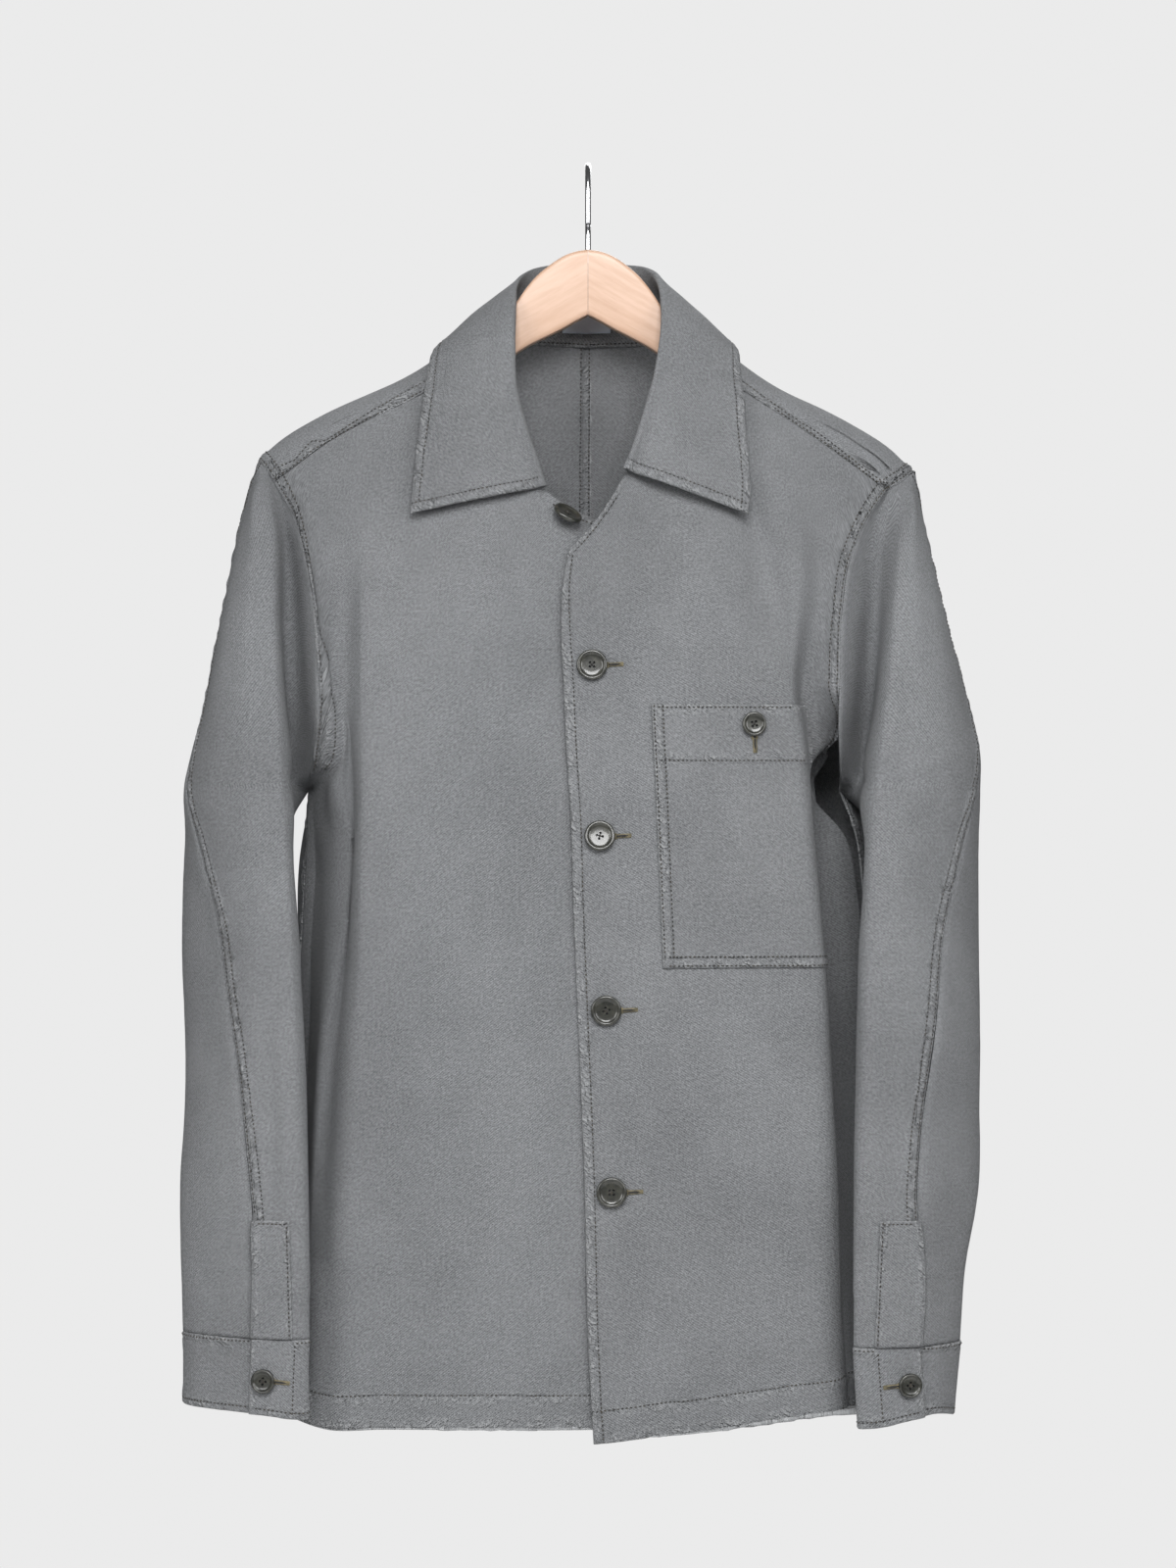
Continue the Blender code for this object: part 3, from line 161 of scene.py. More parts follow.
BACK_HANG = {
    "centre": ((-118, 0, 41), (-160, 0, 45), (-230, 0, 51), (-300, 0, 57), (-412, 0, 65), (-530, 0, 70),
        (-660, 0, 71), (-832, 0, 66)),
    "neck": ((-114, 53, 28), (-160, 56, 38), (-230, 58, 48), (-300, 60, 55), (-412, 61, 64), (-530, 62, 69),
        (-660, 64, 70), (-832, 66, 65)),
    "neck ridge": ((-114, 67.5, 18.5), (-160, 69, 34), (-230, 71, 46.5), (-300, 73, 54), (-412, 74, 63.5),
        (-530, 76, 68.5), (-660, 79, 69.5), (-832, 82, 64.3)),
    "neck point": ((-118, 71, 17), (-160, 75, 32), (-230, 76, 45), (-300, 78, 53), (-412, 79, 63),
        (-530, 81, 68), (-660, 84, 69), (-832, 87, 64)),
    "shoulder": ((-150, 115, 14), (-190, 117, 27), (-240, 119, 39), (-300, 120, 50), (-412, 121, 61),
        (-530, 124, 67), (-660, 130, 68), (-831, 135, 62)),
    "tip": ((-180, 178, 8), (-215, 172, 22), (-250, 168, 32), (-300, 163, 44), (-357, 161, 53),
        (-412, 166, 57), (-450, 171, 58), (-530, 174, 60), (-660, 178, 61), (-829, 182, 56)),
    "fold": ((-191, 200, 4), (-222, 191, 19), (-250, 184, 30), (-300, 178, 44), (-357, 175, 50),
        (-396, 180, 44), (-412, 186, 38), (-450, 196, 40), (-530, 198, 41), (-660, 200, 40),
        (-827, 201, 36)),
}
SHOULDER_WRAP = {
    LEFT: ((210, -28, -207), (216, -24.5, -198), (221.5, -15, -191.5), (220, -6, -195)),
    RIGHT: ((200, -28, -213), (212, -25, -205), (219.5, -15, -199), (219, -6, -202)),
}
BACK_STEPS = {LEFT: (3, 1, 1, 2, 3, 2, 2), RIGHT: (3, 1, 1, 2, 3, 1, 2)}
NECK_POINT = {"front": 4, "back": 3}  # the neck point's line on each panel
LEAN, LEAN_START = 0.045, 25.0  # the hanger dips towards the viewer's right, past its neck

# The forward shoulder seam: out, depth, height.
SHOULDER_SEAM = {
    LEFT: ((66, -18, -116), (112, -22, -148), (136, -24, -159.5), (173, -26, -179.5), (191, -27.3, -192.6),
        (210, -28, -207)),
    RIGHT: ((66, -18, -117), (104, -21.5, -145), (146, -25, -173), (176, -27, -194.5), (200, -28, -213)),
}

# Lines down each sleeve between its two armhole lines: height, out, depth.
SLEEVE = {
    LEFT: {
        "valley": ((-205.5, 211, -27), (-222, 206, -28), (-245, 203, -27), (-300, 201.5, -25),
            (-357, 201, -20), (-392, 200, -13), (-412, 200, -14), (-450, 201, -42), (-520, 197, -46),
            (-600, 193.5, -52), (-680, 190, -66), (-770, 188, -84)),
        "ridge": ((-201, 214, -25), (-222, 212.5, -38), (-245, 209.3, -47), (-300, 207.5, -63),
            (-357, 203, -76), (-412, 200.5, -84), (-450, 197.6, -88), (-520, 193, -93), (-600, 189.5, -97),
            (-680, 186, -99), (-770, 181.5, -100)),
        "crease": ((-196.5, 217, -22), (-222, 222.5, -41), (-245, 221.3, -51), (-300, 218.5, -67),
            (-357, 213, -80), (-412, 208, -88), (-450, 205, -92), (-520, 200, -97), (-600, 196, -100.5),
            (-680, 194.5, -103), (-770, 192, -105)),
        "face": ((-192.5, 220, -19), (-222, 228, -31), (-245, 231, -40), (-300, 236, -57), (-357, 241, -68),
            (-412, 239, -79), (-450, 232, -84), (-520, 221, -93), (-600, 212, -98), (-680, 207, -101),
            (-770, 206, -103)),
        "seam": ((-191.5, 221.5, -14), (-222, 230.5, -10), (-245, 235.5, -12), (-300, 247, -17),
            (-357, 257.5, -25), (-392, 264, -38), (-412, 266, -46), (-450, 256.4, -62), (-500, 242, -77),
            (-542, 236.5, -82), (-600, 228, -89), (-652, 222.4, -94), (-680, 219.3, -96), (-770, 219, -98)),
        "rear": ((-193, 221, -9), (-222, 229, 3), (-245, 233, 6), (-300, 244, 12), (-357, 255, 16),
            (-392, 262, 10), (-412, 267, -2), (-450, 270, -18), (-520, 270.5, -36), (-600, 267.5, -44),
            (-680, 270.3, -50), (-770, 267.5, -55)),
        "back": ((-196.5, 219.5, -5), (-222, 223, 12), (-245, 224, 21), (-300, 229, 34), (-357, 236, 42),
            (-392, 242, 42), (-412, 247, 38), (-450, 258, 26), (-520, 263, 10), (-600, 262, -2),
            (-680, 262, -16), (-770, 256, -36)),
        "inside": ((-199.5, 218, -2), (-222, 215, 15.5), (-245, 211, 26), (-300, 207, 43), (-357, 207, 48),
            (-392, 210, 46), (-412, 216, 42), (-450, 230, 38), (-520, 233, 25), (-600, 231, 12),
            (-680, 232, -10), (-770, 228, -44)),
        "underarm": ((-413, 188.8, 2), (-430, 199, 2), (-450, 207, 2), (-520, 208, -4), (-600, 207, -14),
            (-680, 206, -34), (-770, 206, -66)),
    },
    RIGHT: {
        "valley": ((-210, 203.5, -27), (-228, 197, -29), (-249, 195, -27), (-300, 193, -25),
            (-357, 189, -20), (-392, 184, -13), (-412, 182, -14), (-450, 192, -42), (-520, 187, -48),
            (-600, 184, -56), (-680, 180, -72), (-775, 180, -88)),
        "ridge": ((-207, 208, -25.5), (-228, 211.5, -37), (-249, 208.3, -47), (-300, 203, -62),
            (-357, 196.5, -74), (-412, 189, -83), (-450, 185.5, -88), (-520, 182, -94), (-600, 179.2, -98),
            (-680, 176, -100), (-775, 172.4, -102)),
        "crease": ((-203.5, 212, -23), (-228, 216, -40), (-249, 213, -51), (-300, 210, -66),
            (-357, 203.5, -78), (-412, 198.5, -87), (-450, 195.5, -92), (-520, 191.8, -98),
            (-600, 190.8, -102), (-680, 190, -104.5), (-775, 186, -107)),
        "face": ((-199.5, 217.5, -19), (-228, 222, -31), (-249, 224, -41), (-300, 230, -56),
            (-357, 236, -68), (-412, 232, -80), (-450, 224, -85), (-520, 212, -95), (-600, 206, -100),
            (-680, 202, -103), (-775, 201, -105)),
        "seam": ((-199, 219.5, -14), (-228, 223.5, -10), (-249, 227.4, -12), (-300, 239, -17),
            (-357, 254, -27), (-392, 260, -42), (-412, 257, -52), (-450, 246.5, -68), (-500, 234, -82),
            (-568, 227, -90), (-641, 216.5, -95), (-680, 214, -98), (-733, 218.5, -99), (-775, 216.5, -99)),
        "rear": ((-200.5, 219.5, -9), (-228, 222.5, 3), (-249, 225, 6), (-300, 236, 12), (-357, 250, 16),
            (-392, 257, 8), (-412, 261, -6), (-450, 262, -22), (-520, 260.5, -38), (-600, 260, -48),
            (-680, 258, -56), (-733, 249, -62), (-775, 245.5, -66)),
        "back": ((-203.5, 218.5, -5), (-228, 218, 12), (-249, 217, 21), (-300, 221, 34), (-357, 230, 42),
            (-392, 234, 42), (-412, 240, 38), (-450, 250, 24), (-520, 254, 6), (-600, 253, -8),
            (-680, 248, -26), (-775, 236, -50)),
        "inside": ((-206, 217.5, -2), (-228, 211, 15.5), (-249, 206, 26), (-300, 200, 43), (-357, 199, 48),
            (-392, 200, 46), (-412, 206, 42), (-450, 222, 36), (-520, 226, 21), (-600, 224, 6),
            (-680, 222, -22), (-775, 214, -58)),
        "underarm": ((-413, 170.5, 2), (-430, 188, 2), (-450, 200, 2), (-520, 202, -6), (-600, 201, -20),
            (-680, 197, -46), (-775, 195, -76)),
    },
}
SLEEVE_STEPS = (2, 2, 1, 2, 2, 2, 2, 2, 2)
# Where the sleeve's lines leave the shoulder tip, as shares of it.
HEAD_MARKS = (0, 0.1, 0.24, 0.36, 0.5, 0.6, 0.7, 0.82, 0.92, 1)
SEAM_LINE = 5  # the back seam is the sleeve's line of this number, from the armhole on the front

# Collar, from each front end to the centre back: neck seam, roll and outer edge (each out, depth, height).
COLLAR = {
    LEFT: (
        ((30, -64.5, -214), (29, -70, -213), (118, -54, -230)),
        ((38, -60.5, -200), (33.5, -68, -195), (117, -50, -213)),
        ((46, -51, -182), (37.5, -62, -182), (115, -45, -190)),
        ((54, -41, -160), (43.5, -54, -162), (112.5, -39, -170)),
        ((60, -31, -141), (48, -44, -143), (110, -32, -150)),
        ((64, -21, -122), (49.5, -32, -117), (108.5, -23, -136)),
        ((66, -10, -108), (49.5, -17, -88), (105.5, -10, -119)),
        ((65, 3, -97), (48, 2, -69), (100, 12, -114)),
        ((54, 20, -93), (40, 24, -58), (84, 42, -116)),
        ((30, 33, -91), (22, 40, -52), (48, 58, -117)),
        ((0, 38, -90), (0, 47, -50), (0, 63, -116)),
    ),
    RIGHT: (
        ((26, -69, -204), (25, -76, -202), (106, -55, -231)),
        ((33, -65, -191), (29.1, -74, -191), (108, -51, -213)),
        ((41, -54, -174), (33.7, -65, -176), (107, -46, -192)),
        ((50, -43, -156), (39.4, -55, -157), (105.5, -39, -171)),
        ((58, -33, -141), (44, -45, -139), (104.5, -32, -152)),
        ((64, -22, -123), (47.5, -33, -115), (103, -23, -138)),
        ((66, -10, -108), (49.5, -17, -88), (102, -10, -120)),
        ((65, 3, -97), (48, 2, -68), (98, 12, -114)),
        ((54, 20, -93), (40, 24, -57), (84, 42, -116)),
        ((30, 33, -91), (22, 40, -52), (48, 58, -117)),
    ),
}
ROLL_RADIUS, COLLAR_THICK, COLLAR_BOW, COLLAR_GAP = 2.4, 1.6, 3.0, 0.8
COLLAR_ROWS, COLLAR_TURN, COLLAR_STAND = 180, 1, 12  # the stand's width along its ends
COLLAR_STEPS = (4, 4, 2, 2, 2, 2, 5, 5, 5, 5)

COLLAR_END = 2  # the front's line where the collar starts
POCKET_LINES = (3, 7)  # the pocket runs from the front's line 3 to its line 7
FACING_FOOT, FACING_TOP = 6, -97.5  # the last row of the back that the facing covers, and near its top edge
LABEL, LABEL_THICK = (33.0, -1.0, -84.0, -100.5), 0.6  # width, middle, top and bottom

# The foot of each cuff, for each line of the sleeve: out, depth, height.
CUFF_FOOT = {
    LEFT: {
        "seam": (221, -98, -819), "face": (206, -103, -820), "crease": (193, -105, -821.5),
        "ridge": (182.5, -101, -822), "valley": (189, -86, -820), "underarm": (206, -68, -819),
        "inside": (228, -48, -818), "back": (255, -38, -818), "rear": (267, -54, -818),
    },
    RIGHT: {
        "seam": (219.5, -98, -821), "face": (203, -105, -824), "crease": (188, -107, -827),
        "ridge": (175, -102, -828), "valley": (182, -90, -826), "underarm": (196, -79, -824),
        "inside": (212, -63, -823), "back": (230, -53, -823), "rear": (240, -67, -824),
    },
}
CUFF_STEPS = (2, 1, 1, 2, 2, 2, 2, 2, 3, 1, 1)  # columns of the solid between each two points of a ring
CUFF_FINER, CUFF_ROWS = 6, 18  # columns here for each of those, and rows from top to foot
CUFF_BUTTON = {LEFT: (210.5, -797), RIGHT: (208.5, -799.5)}  # out, height

# The hanger: out, height of the top edge, height of the bottom edge, depth of the middle.
ARM = ((0.25, -48.5, -92.5, 0), (8, -49.6, -96.5, 0), (15.9, -52.5, -101, 0), (26.8, -59.6, -106.5, 0),
    (34.5, -66.0, -110.2, 0), (41.8, -74.5, -114, 0), (48.7, -84.5, -118.5, -0.2), (56, -94.5, -123, -0.4),
    (66, -103.8, -129, -0.4), (90, -120, -144, -2.5), (117, -136, -159, -4.5), (150, -150.5, -174, -7.5),
    (180, -166, -189, -10), (196, -177.5, -196, -12), (207, -187, -201, -13.5), (212, -192, -199, -14))
ARM_THICK, ARM_THICK_AT = (14.0, 14.0, 11.0, 7.0), (0, 60, 150, 212)
HOOK_WIRE, HOOK_RADIUS, HOOK_STEM_FOOT = 3.8, 18.0, -48.0
HOOK_RINGS, HOOK_TIP = 120, 0.45  # rings along the wire, and how much its tip is rounded off

# Buttons: x and height.
MAIN_BUTTONS = ((2.6, -331), (7.7, -443.5), (11.9, -557.5), (15.4, -676.5))
BUTTON, SMALL_BUTTON = 20.2, 16.0
BUTTON_THICK, BUTTON_LIFT = 3.2, 0.8
MAIN_TURN, NECK_TURN, POCKET_TURN, CUFF_TURN = 31, 20, 10, 40  # degrees; the main ones turn further each time
NECK_BUTTON, NECK_WAY, NECK_SHANK = (-14, -232), (0.46, -0.42, 0.78), 6.1  # it hangs tipped up on its shank
POCKET_BUTTON = (109, -370)


def spline(knots, points):
    """A smooth curve through the points, as a function of the knot value."""
    slopes = []
    for index in range(len(points)):
        low, high = max(index - 1, 0), min(index + 1, len(points) - 1)
        if 0 < index < len(points) - 1:
            before, after = knots[index] - knots[low], knots[high] - knots[index]
            rise = (points[index] - points[low]) / before
            fall = (points[high] - points[index]) / after
            slopes.append((rise * after + fall * before) / (before + after))
        else:
            slopes.append((points[high] - points[low]) / (knots[high] - knots[low]))

    def at(value):
        index = 0
        while index < len(knots) - 2 and value > knots[index + 1]:
            index += 1
        width = knots[index + 1] - knots[index]
        t = min(max((value - knots[index]) / width, 0.0), 1.0)
        return (
            points[index] * (2 * t**3 - 3 * t**2 + 1)
            + slopes[index] * (width * (t**3 - 2 * t**2 + t))
            + points[index + 1] * (3 * t**2 - 2 * t**3)
            + slopes[index + 1] * (width * (t**3 - t**2))
        )

    return at


def place(side, out, depth, height):
    return Vector((side * out, depth, height + DATUM))


def station(height, top):
    """Rows start at each line's own top and are level below LEVEL."""
    if height <= LEVEL:
        return -height
    return -(TOP + (top - height) / (top - LEVEL) * (LEVEL - TOP))


def hanging_line(side, rows):
    """A line down the cloth through rows of height, out, depth."""
    knots = [station(row[0], rows[0][0]) for row in rows]
    return spline(knots, [place(side, row[1], row[2], row[0]) for row in rows])


def armhole_line(side, face, below):
    """The armhole, then the line of height, out, depth below the underarm."""
    hole = ARMHOLE[side, face]
    above = spline([-row[0] for row in hole], [place(side, *row[1:]) for row in hole])
    knots = [-UNDERARM] + [-row[0] for row in below[1:]]
    under = spline(knots, [place(side, row[1], row[2], row[0]) for row in below])
    return lambda value: above(value) if value <= -UNDERARM else under(value)


def dip(side, out):
    return LEAN * max(out - LEAN_START, 0.0) if side == RIGHT else 0.0


def wrapped_line(side, wrap, hang):
    """A back line from the forward shoulder seam over the ridge and down."""
    knots = [-value for value in WRAP] + [station(row[0], hang[0][0]) for row in hang]
    points = [place(side, out, depth, height - dip(side, out)) for out, depth, height in wrap]
    for height, out, depth in hang:
        points.append(place(side, out, depth, height - dip(side, out) * (height > LEVEL)))
    return spline(knots, points)


def set_on_seam(side, row, first):
    """Brings the points of a front's top row onto the forward shoulder seam, from the neck point outwards."""
    table = SHOULDER_SEAM[side]
    seam = spline([point[0] for point in table], [place(side, *point) for point in table])
    for index in range(first, len(row)):
        row[index] = seam(abs(row[index].x))


def across(marks, steps):
    """A row of points through the marks, with the given steps between each two."""
    knots = [0.0]
    for start, end in zip(marks, marks[1:]):
        knots.append(knots[-1] + max((end - start).length, 0.05))
    curve = spline(knots, marks)
    row = [marks[0]]
    for index, count in enumerate(steps):
        width = knots[index + 1] - knots[index]
        row += [curve(knots[index] + width * step / count) for step in range(1, count + 1)]
    return row


def weave(lines, rows, steps):
    """A grid of points: one row for each station, through every line."""
    steps = [step * ALONG_STEPS for step in steps]
    return [across([line(-value) for line in lines], steps) for value in rows]


def shoulder_end(side):
    """The end of the shoulder, from the forward seam over the tip to the armhole on the back."""
    knots = [-value for value in WRAP + (TOP,)]
    points = [place(side, *row) for row in SHOULDER_WRAP[side]]
    points.append(place(side, *ARMHOLE[side, "back"][0][1:]))
    return spline(knots, points)


def trim(grid, left=0.0, right=0.0, top=0.0, bottom=0.0):
    """The grid with its edges drawn in by these widths."""
    rows = [list(row) for row in grid]

    def drawn(point, towards, width):
        way = towards - point
        return point + way * min(width / max(way.length, 1e-6), 0.45)

    for row, old in zip(rows, grid):
        row[0] = drawn(old[0], old[1], left)
        row[-1] = drawn(old[-1], old[-2], right)
    above, below = [list(rows[0]), list(rows[1])], [list(rows[-1]), list(rows[-2])]
    rows[0] = [drawn(point, towards, top) for point, towards in zip(*above)]
    rows[-1] = [drawn(point, towards, bottom) for point, towards in zip(*below)]
    return rows


def nearest_on(line, point):
    best = None
    for start, end in zip(line, line[1:]):
        way = end - start
        part = min(max((point - start).dot(way) / max(way.length_squared, 1e-9), 0.0), 1.0)
        found = start + way * part
        if best is None or (found - point).length < (best - point).length:
            best = found
    return best


def collar_section(seam, roll, edge):
    """From the neck seam up the stand, over the roll and down the fall."""
    rise = (roll - seam).normalized()
    fall = (edge - roll) - rise * (edge - roll).dot(rise)
    out = fall.normalized()
    middle = roll - rise * ROLL_RADIUS
    bend = [middle - out * ROLL_RADIUS, middle + (rise - out) * ROLL_RADIUS * 0.7, roll]
    bend += [middle + (rise + out) * ROLL_RADIUS * 0.7, middle + out * ROLL_RADIUS]
    way = edge - bend[-1]
    bow = (rise - way.normalized() * rise.dot(way.normalized())).normalized() * COLLAR_BOW
    leaf = [bend[-1] + way * part + bow * math.sin(math.pi * part) for part in (0.25, 0.5, 0.75, 1.0)]
    foot = seam + rise * COLLAR_GAP
    return [foot, foot.lerp(bend[0], 0.5)] + bend + leaf


# Cloth.

DOWN_STEP, ALONG_STEPS = 2.8, 4  # mm between rows, and columns for each column of the solid


def finer(stations, step):
    """The stations with more of them between, about a step apart."""
    rows = []
    for start, end in zip(stations, stations[1:]):
        count = max(round(abs(end - start) / step), 1)
        rows += [start + (end - start) * part / count for part in range(count)]
    return rows + [stations[-1]]


def as_array(grid):
    return np.array([[tuple(point) for point in row] for row in grid])


def swapped(swap, *grids):
    """The grids with their rows and columns swapped, or as they are."""
    return [grid.swapaxes(0, 1) if swap else grid for grid in grids]


def spaced(points, axis):
    """The distance from the first point, along one axis of a grid."""
    gaps = np.linalg.norm(np.diff(points, axis=axis), axis=2)
    return np.concatenate([np.zeros_like(np.take(gaps, [0], axis)), np.cumsum(gaps, axis)], axis)


# How worn the cloth is, by its distance from an edge, and beside a stitch row, from the cloth to the edge.
WORN_AT, WORN = (0, 0.9, 3.5, 7.0, 10.0), (1, 0.8, 0.5, 0.35, 0)
GATHERED_AT, GATHERED = (-12, -5, 0, 2.5), (0, 0.35, 0.55, 0)
STITCH_SHADE_WIDE = 0.7  # half the width of the painted shade that darkens the cloth along a stitch row
PUCKER, DEEP = 0.45, 2.2  # how much a seam puckers, and how deep a full pucker is beside its rise
PUCKER_LONG, PUCKER_WIDE = 7.0, 16.0  # size of the puckers along the seam and across it


class Cloth:
    """A panel of cloth: a grid of points in mm, with rows down it, and the way that they face."""

    def __init__(self, grid, turn):
        self.points, self.turn = as_array(grid), turn
        self.measure()

    def measure(self):
        """Distances in mm from each edge, measured on the flat cloth before it is creased."""
        along, down = spaced(self.points, 1), spaced(self.points, 0)
        self.edges = {"left": along, "right": along[:, -1:] - along, "top": down, "bottom": down[-1:] - down}
        # wear, and the painted shade of the needle holes along stitch rows
        self.wear, self.stitch_shade = np.zeros_like(along), np.zeros_like(along)
        self.face()

    def face(self):
        down, along = np.gradient(self.points, axis=0), np.gradient(self.points, axis=1)
        faces = np.cross(down, along) * self.turn
        self.faces = faces / np.maximum(np.linalg.norm(faces, axis=2, keepdims=True), 1e-9)

    def loops(self, edges, distances):
        """Adds a row or column at each distance from each of these edges."""
        for edge, distance in itertools.product(edges.split(), distances):
            turned = edge in ("top", "bottom")
            points, places = swapped(turned, self.points, self.edges[edge])
            inward = 1 if edge in ("left", "top") else -1
            index = int(np.searchsorted(inward * places[len(places) // 2], inward * distance))
            index = min(max(index, 1), places.shape[1] - 1)
            share = (distance - places[:, index - 1]) / (places[:, index] - places[:, index - 1] + 1e-9)
            share = np.clip(share, 0.05, 0.95)[:, None]
            added = points[:, index - 1] * (1 - share) + points[:, index] * share
            points = np.insert(points, index, added, axis=1)
            self.points = points.swapaxes(0, 1) if turned else points
            self.measure()

    def lift(self, amount):
        self.points = self.points + self.faces * amount[:, :, None]

    def fold(self, rows, flat):
        """One soft fold through rows of x, height, rise and width: a trough where the rise is negative."""
        x, z = self.points[:, :, 0], self.points[:, :, 2] - DATUM
        best = np.full(x.shape, 1e9)
        amount = np.zeros(x.shape)
        for (x1, z1, rise1, width1), (x2, z2, rise2, width2) in zip(rows, rows[1:]):
            length = (x2 - x1) ** 2 + (z2 - z1) ** 2
            part = np.clip(((x - x1) * (x2 - x1) + (z - z1) * (z2 - z1)) / length, 0, 1)
            away = np.hypot(x - x1 - part * (x2 - x1), z - z1 - part * (z2 - z1))
            width = width1 + part * (width2 - width1)
            rise = rise1 + part * (rise2 - rise1)
            near = away / width < best
            best = np.where(near, away / width, best)
            amount = np.where(near, rise * np.exp(-((away / width) ** 2)), amount)
        beside = np.minimum(self.edges["left"], self.edges["right"])
        self.lift(amount * np.clip((beside + 0.1) / flat, 0, 1))

    def crumple(self, size, height, stretch, seed):
        """Uneven soft bumps of about this size in mm, longer down the cloth where the stretch is over 1."""
        spots = self.points / size
        amount = [[noise.noise((x, y, z / stretch + seed)) for x, y, z in row] for row in spots.tolist()]
        self.lift(np.array(amount) * height)

    def sewn(self, edge, profile, seed, pucker=PUCKER, start=0.0, stop=1e9):
        """A hem or a felled seam along an edge: a profile of distance and rise, puckered by its stitches."""
        distance = self.edges[edge]
        other = self.edges["top" if edge in ("left", "right") else "left"]
        rise = np.interp(distance, [row[0] for row in profile], [row[1] for row in profile])
        inside = (other >= start) & (other <= stop) & (distance <= profile[-1][0])
        waves = []
        for line in zip(other / PUCKER_LONG, distance / PUCKER_WIDE):
            waves.append([noise.noise((along, away, seed)) for along, away in zip(*line)])
        self.lift(np.where(inside, rise * (1 + pucker * DEEP * np.array(waves)), 0))
        self.wear = np.maximum(self.wear, np.interp(distance, WORN_AT, WORN) * inside)
        # Painted shade: each stitch row darkens the cloth along it, for the shadow of its needle holes.
        for (_, before), (row, low), (_, after) in zip(profile, profile[1:], profile[2:]):
            if low < before and low < after:
                shaded = np.exp(-(((distance - row) / STITCH_SHADE_WIDE) ** 2))
                self.stitch_shade = np.maximum(self.stitch_shade, shaded * inside)
                gathered = np.interp(distance, [row + place for place in GATHERED_AT], GATHERED)
                self.wear = np.maximum(self.wear, gathered * inside)

    def row_at(self, edge, distance, start=0.0, stop=1e9):
        """The points of a stitch row, and the way they face, at a distance from an edge."""
        turned = edge in ("top", "bottom")
        other = self.edges["left" if turned else "top"]
        found = []
        lines = swapped(turned, self.edges[edge], other, self.points, self.faces)
        for line, beside, points, faces in zip(*lines):
            order = np.argsort(line)
            grids = (*points.T, *faces.T, beside)
            spot = [np.interp(distance, line[order], values[order]) for values in grids]
            if start <= spot[6] <= stop:
                found.append((Vector(spot[:3]), Vector(spot[3:6])))
        return found

    def surface(self):
        return Surface(self.points.tolist())

    def piece(self, name, material, thick=CLOTH):
        """The panel as a mesh with its weave's measure as UVs, and a live wall of cloth behind it."""
        rows, columns = self.points.shape[:2]
        bm = bmesh.new()
        uv = bm.loops.layers.uv.new("cloth")
        # Layers for the wear and for the painted shade along stitch rows.
        layers = [bm.verts.layers.float.new(layer) for layer in ("wear", "stitch_shade")]
        bmesh.ops.create_grid(bm, x_segments=columns - 1, y_segments=rows - 1, size=0.5)
        ordered = sorted(bm.verts, key=lambda vert: (round(vert.co.y, 5), round(vert.co.x, 5)))
        spots = (self.points * MM).reshape(-1, 3).tolist()
        grids = (self.edges["left"] * MM, self.edges["bottom"] * MM, self.wear, self.stitch_shade)
        values = list(zip(*(grid.ravel().tolist() for grid in grids)))
        places = {}
        for vert, spot, (across, up, worn, shaded) in zip(ordered, spots, values):
            vert.co = spot
            vert[layers[0]], vert[layers[1]] = worn, shaded
            places[vert] = (across, up)
        for face in bm.faces:
            face.smooth = True
            for loop in face.loops:
                loop[uv].uv = places[loop.vert]
        bm.normal_update()
        middle = rows // 2 * columns + columns // 2
        if ordered[middle].normal.dot(Vector(self.faces[rows // 2, columns // 2])) < 0:
            bmesh.ops.reverse_faces(bm, faces=list(bm.faces))
        piece = joined(name, bm, material)
        wall = piece.modifiers.new("wall", "SOLIDIFY")
        wall.thickness, wall.offset = thick * MM, -1
        return piece


def as_mesh(name, bm):
    mesh = bpy.data.meshes.new(name)
    bm.to_mesh(mesh)
    bm.free()
    return mesh


def placed(name, data):
    """A new object in the scene."""
    thing = bpy.data.objects.new(name, data)
    bpy.context.scene.collection.objects.link(thing)
    return thing


def joined(name, bm, material):
    mesh = as_mesh(name, bm)
    mesh.materials.append(material)
    piece = placed(name, mesh)
    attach(piece, "root")
    return piece


class Surface:
    """Finds where a straight line meets a grid, to lay a piece on it."""

    def __init__(self, rows):
        columns = len(rows[0])
        points = [Vector(point) for row in rows for point in row]
        corners = [row * columns + column for row in range(len(rows) - 1) for column in range(columns - 1)]
        quads = [(corner, corner + 1, corner + columns + 1, corner + columns) for corner in corners]
        self.tree = BVHTree.FromPolygons(points, quads)

    def front(self, x, height):
        """The point and the way it faces, met from the front."""
        point, way, _, _ = self.tree.ray_cast(Vector((x, -1000, height + DATUM)), Vector((0, 1, 0)))
        return point, way if way.y < 0 else -way


# Sewing.

BATCH = 80  # stitches made together, because each new one is slower among many
THREAD, BEAD = 1.05, 0.7  # width and height of a stitch, in mm
PITCH, SHOWN, SHORTEST = 2.9, 0.68, 0.2  # from stitch to stitch, how much of it shows, and half the shortest
RAISED = 0.35  # how much of a stitch's height its middle stands above the cloth
BAR_PITCH, BAR_THREAD, BAR_BEAD = 0.45, 0.6, 1.8  # the close stitches of a bar tack


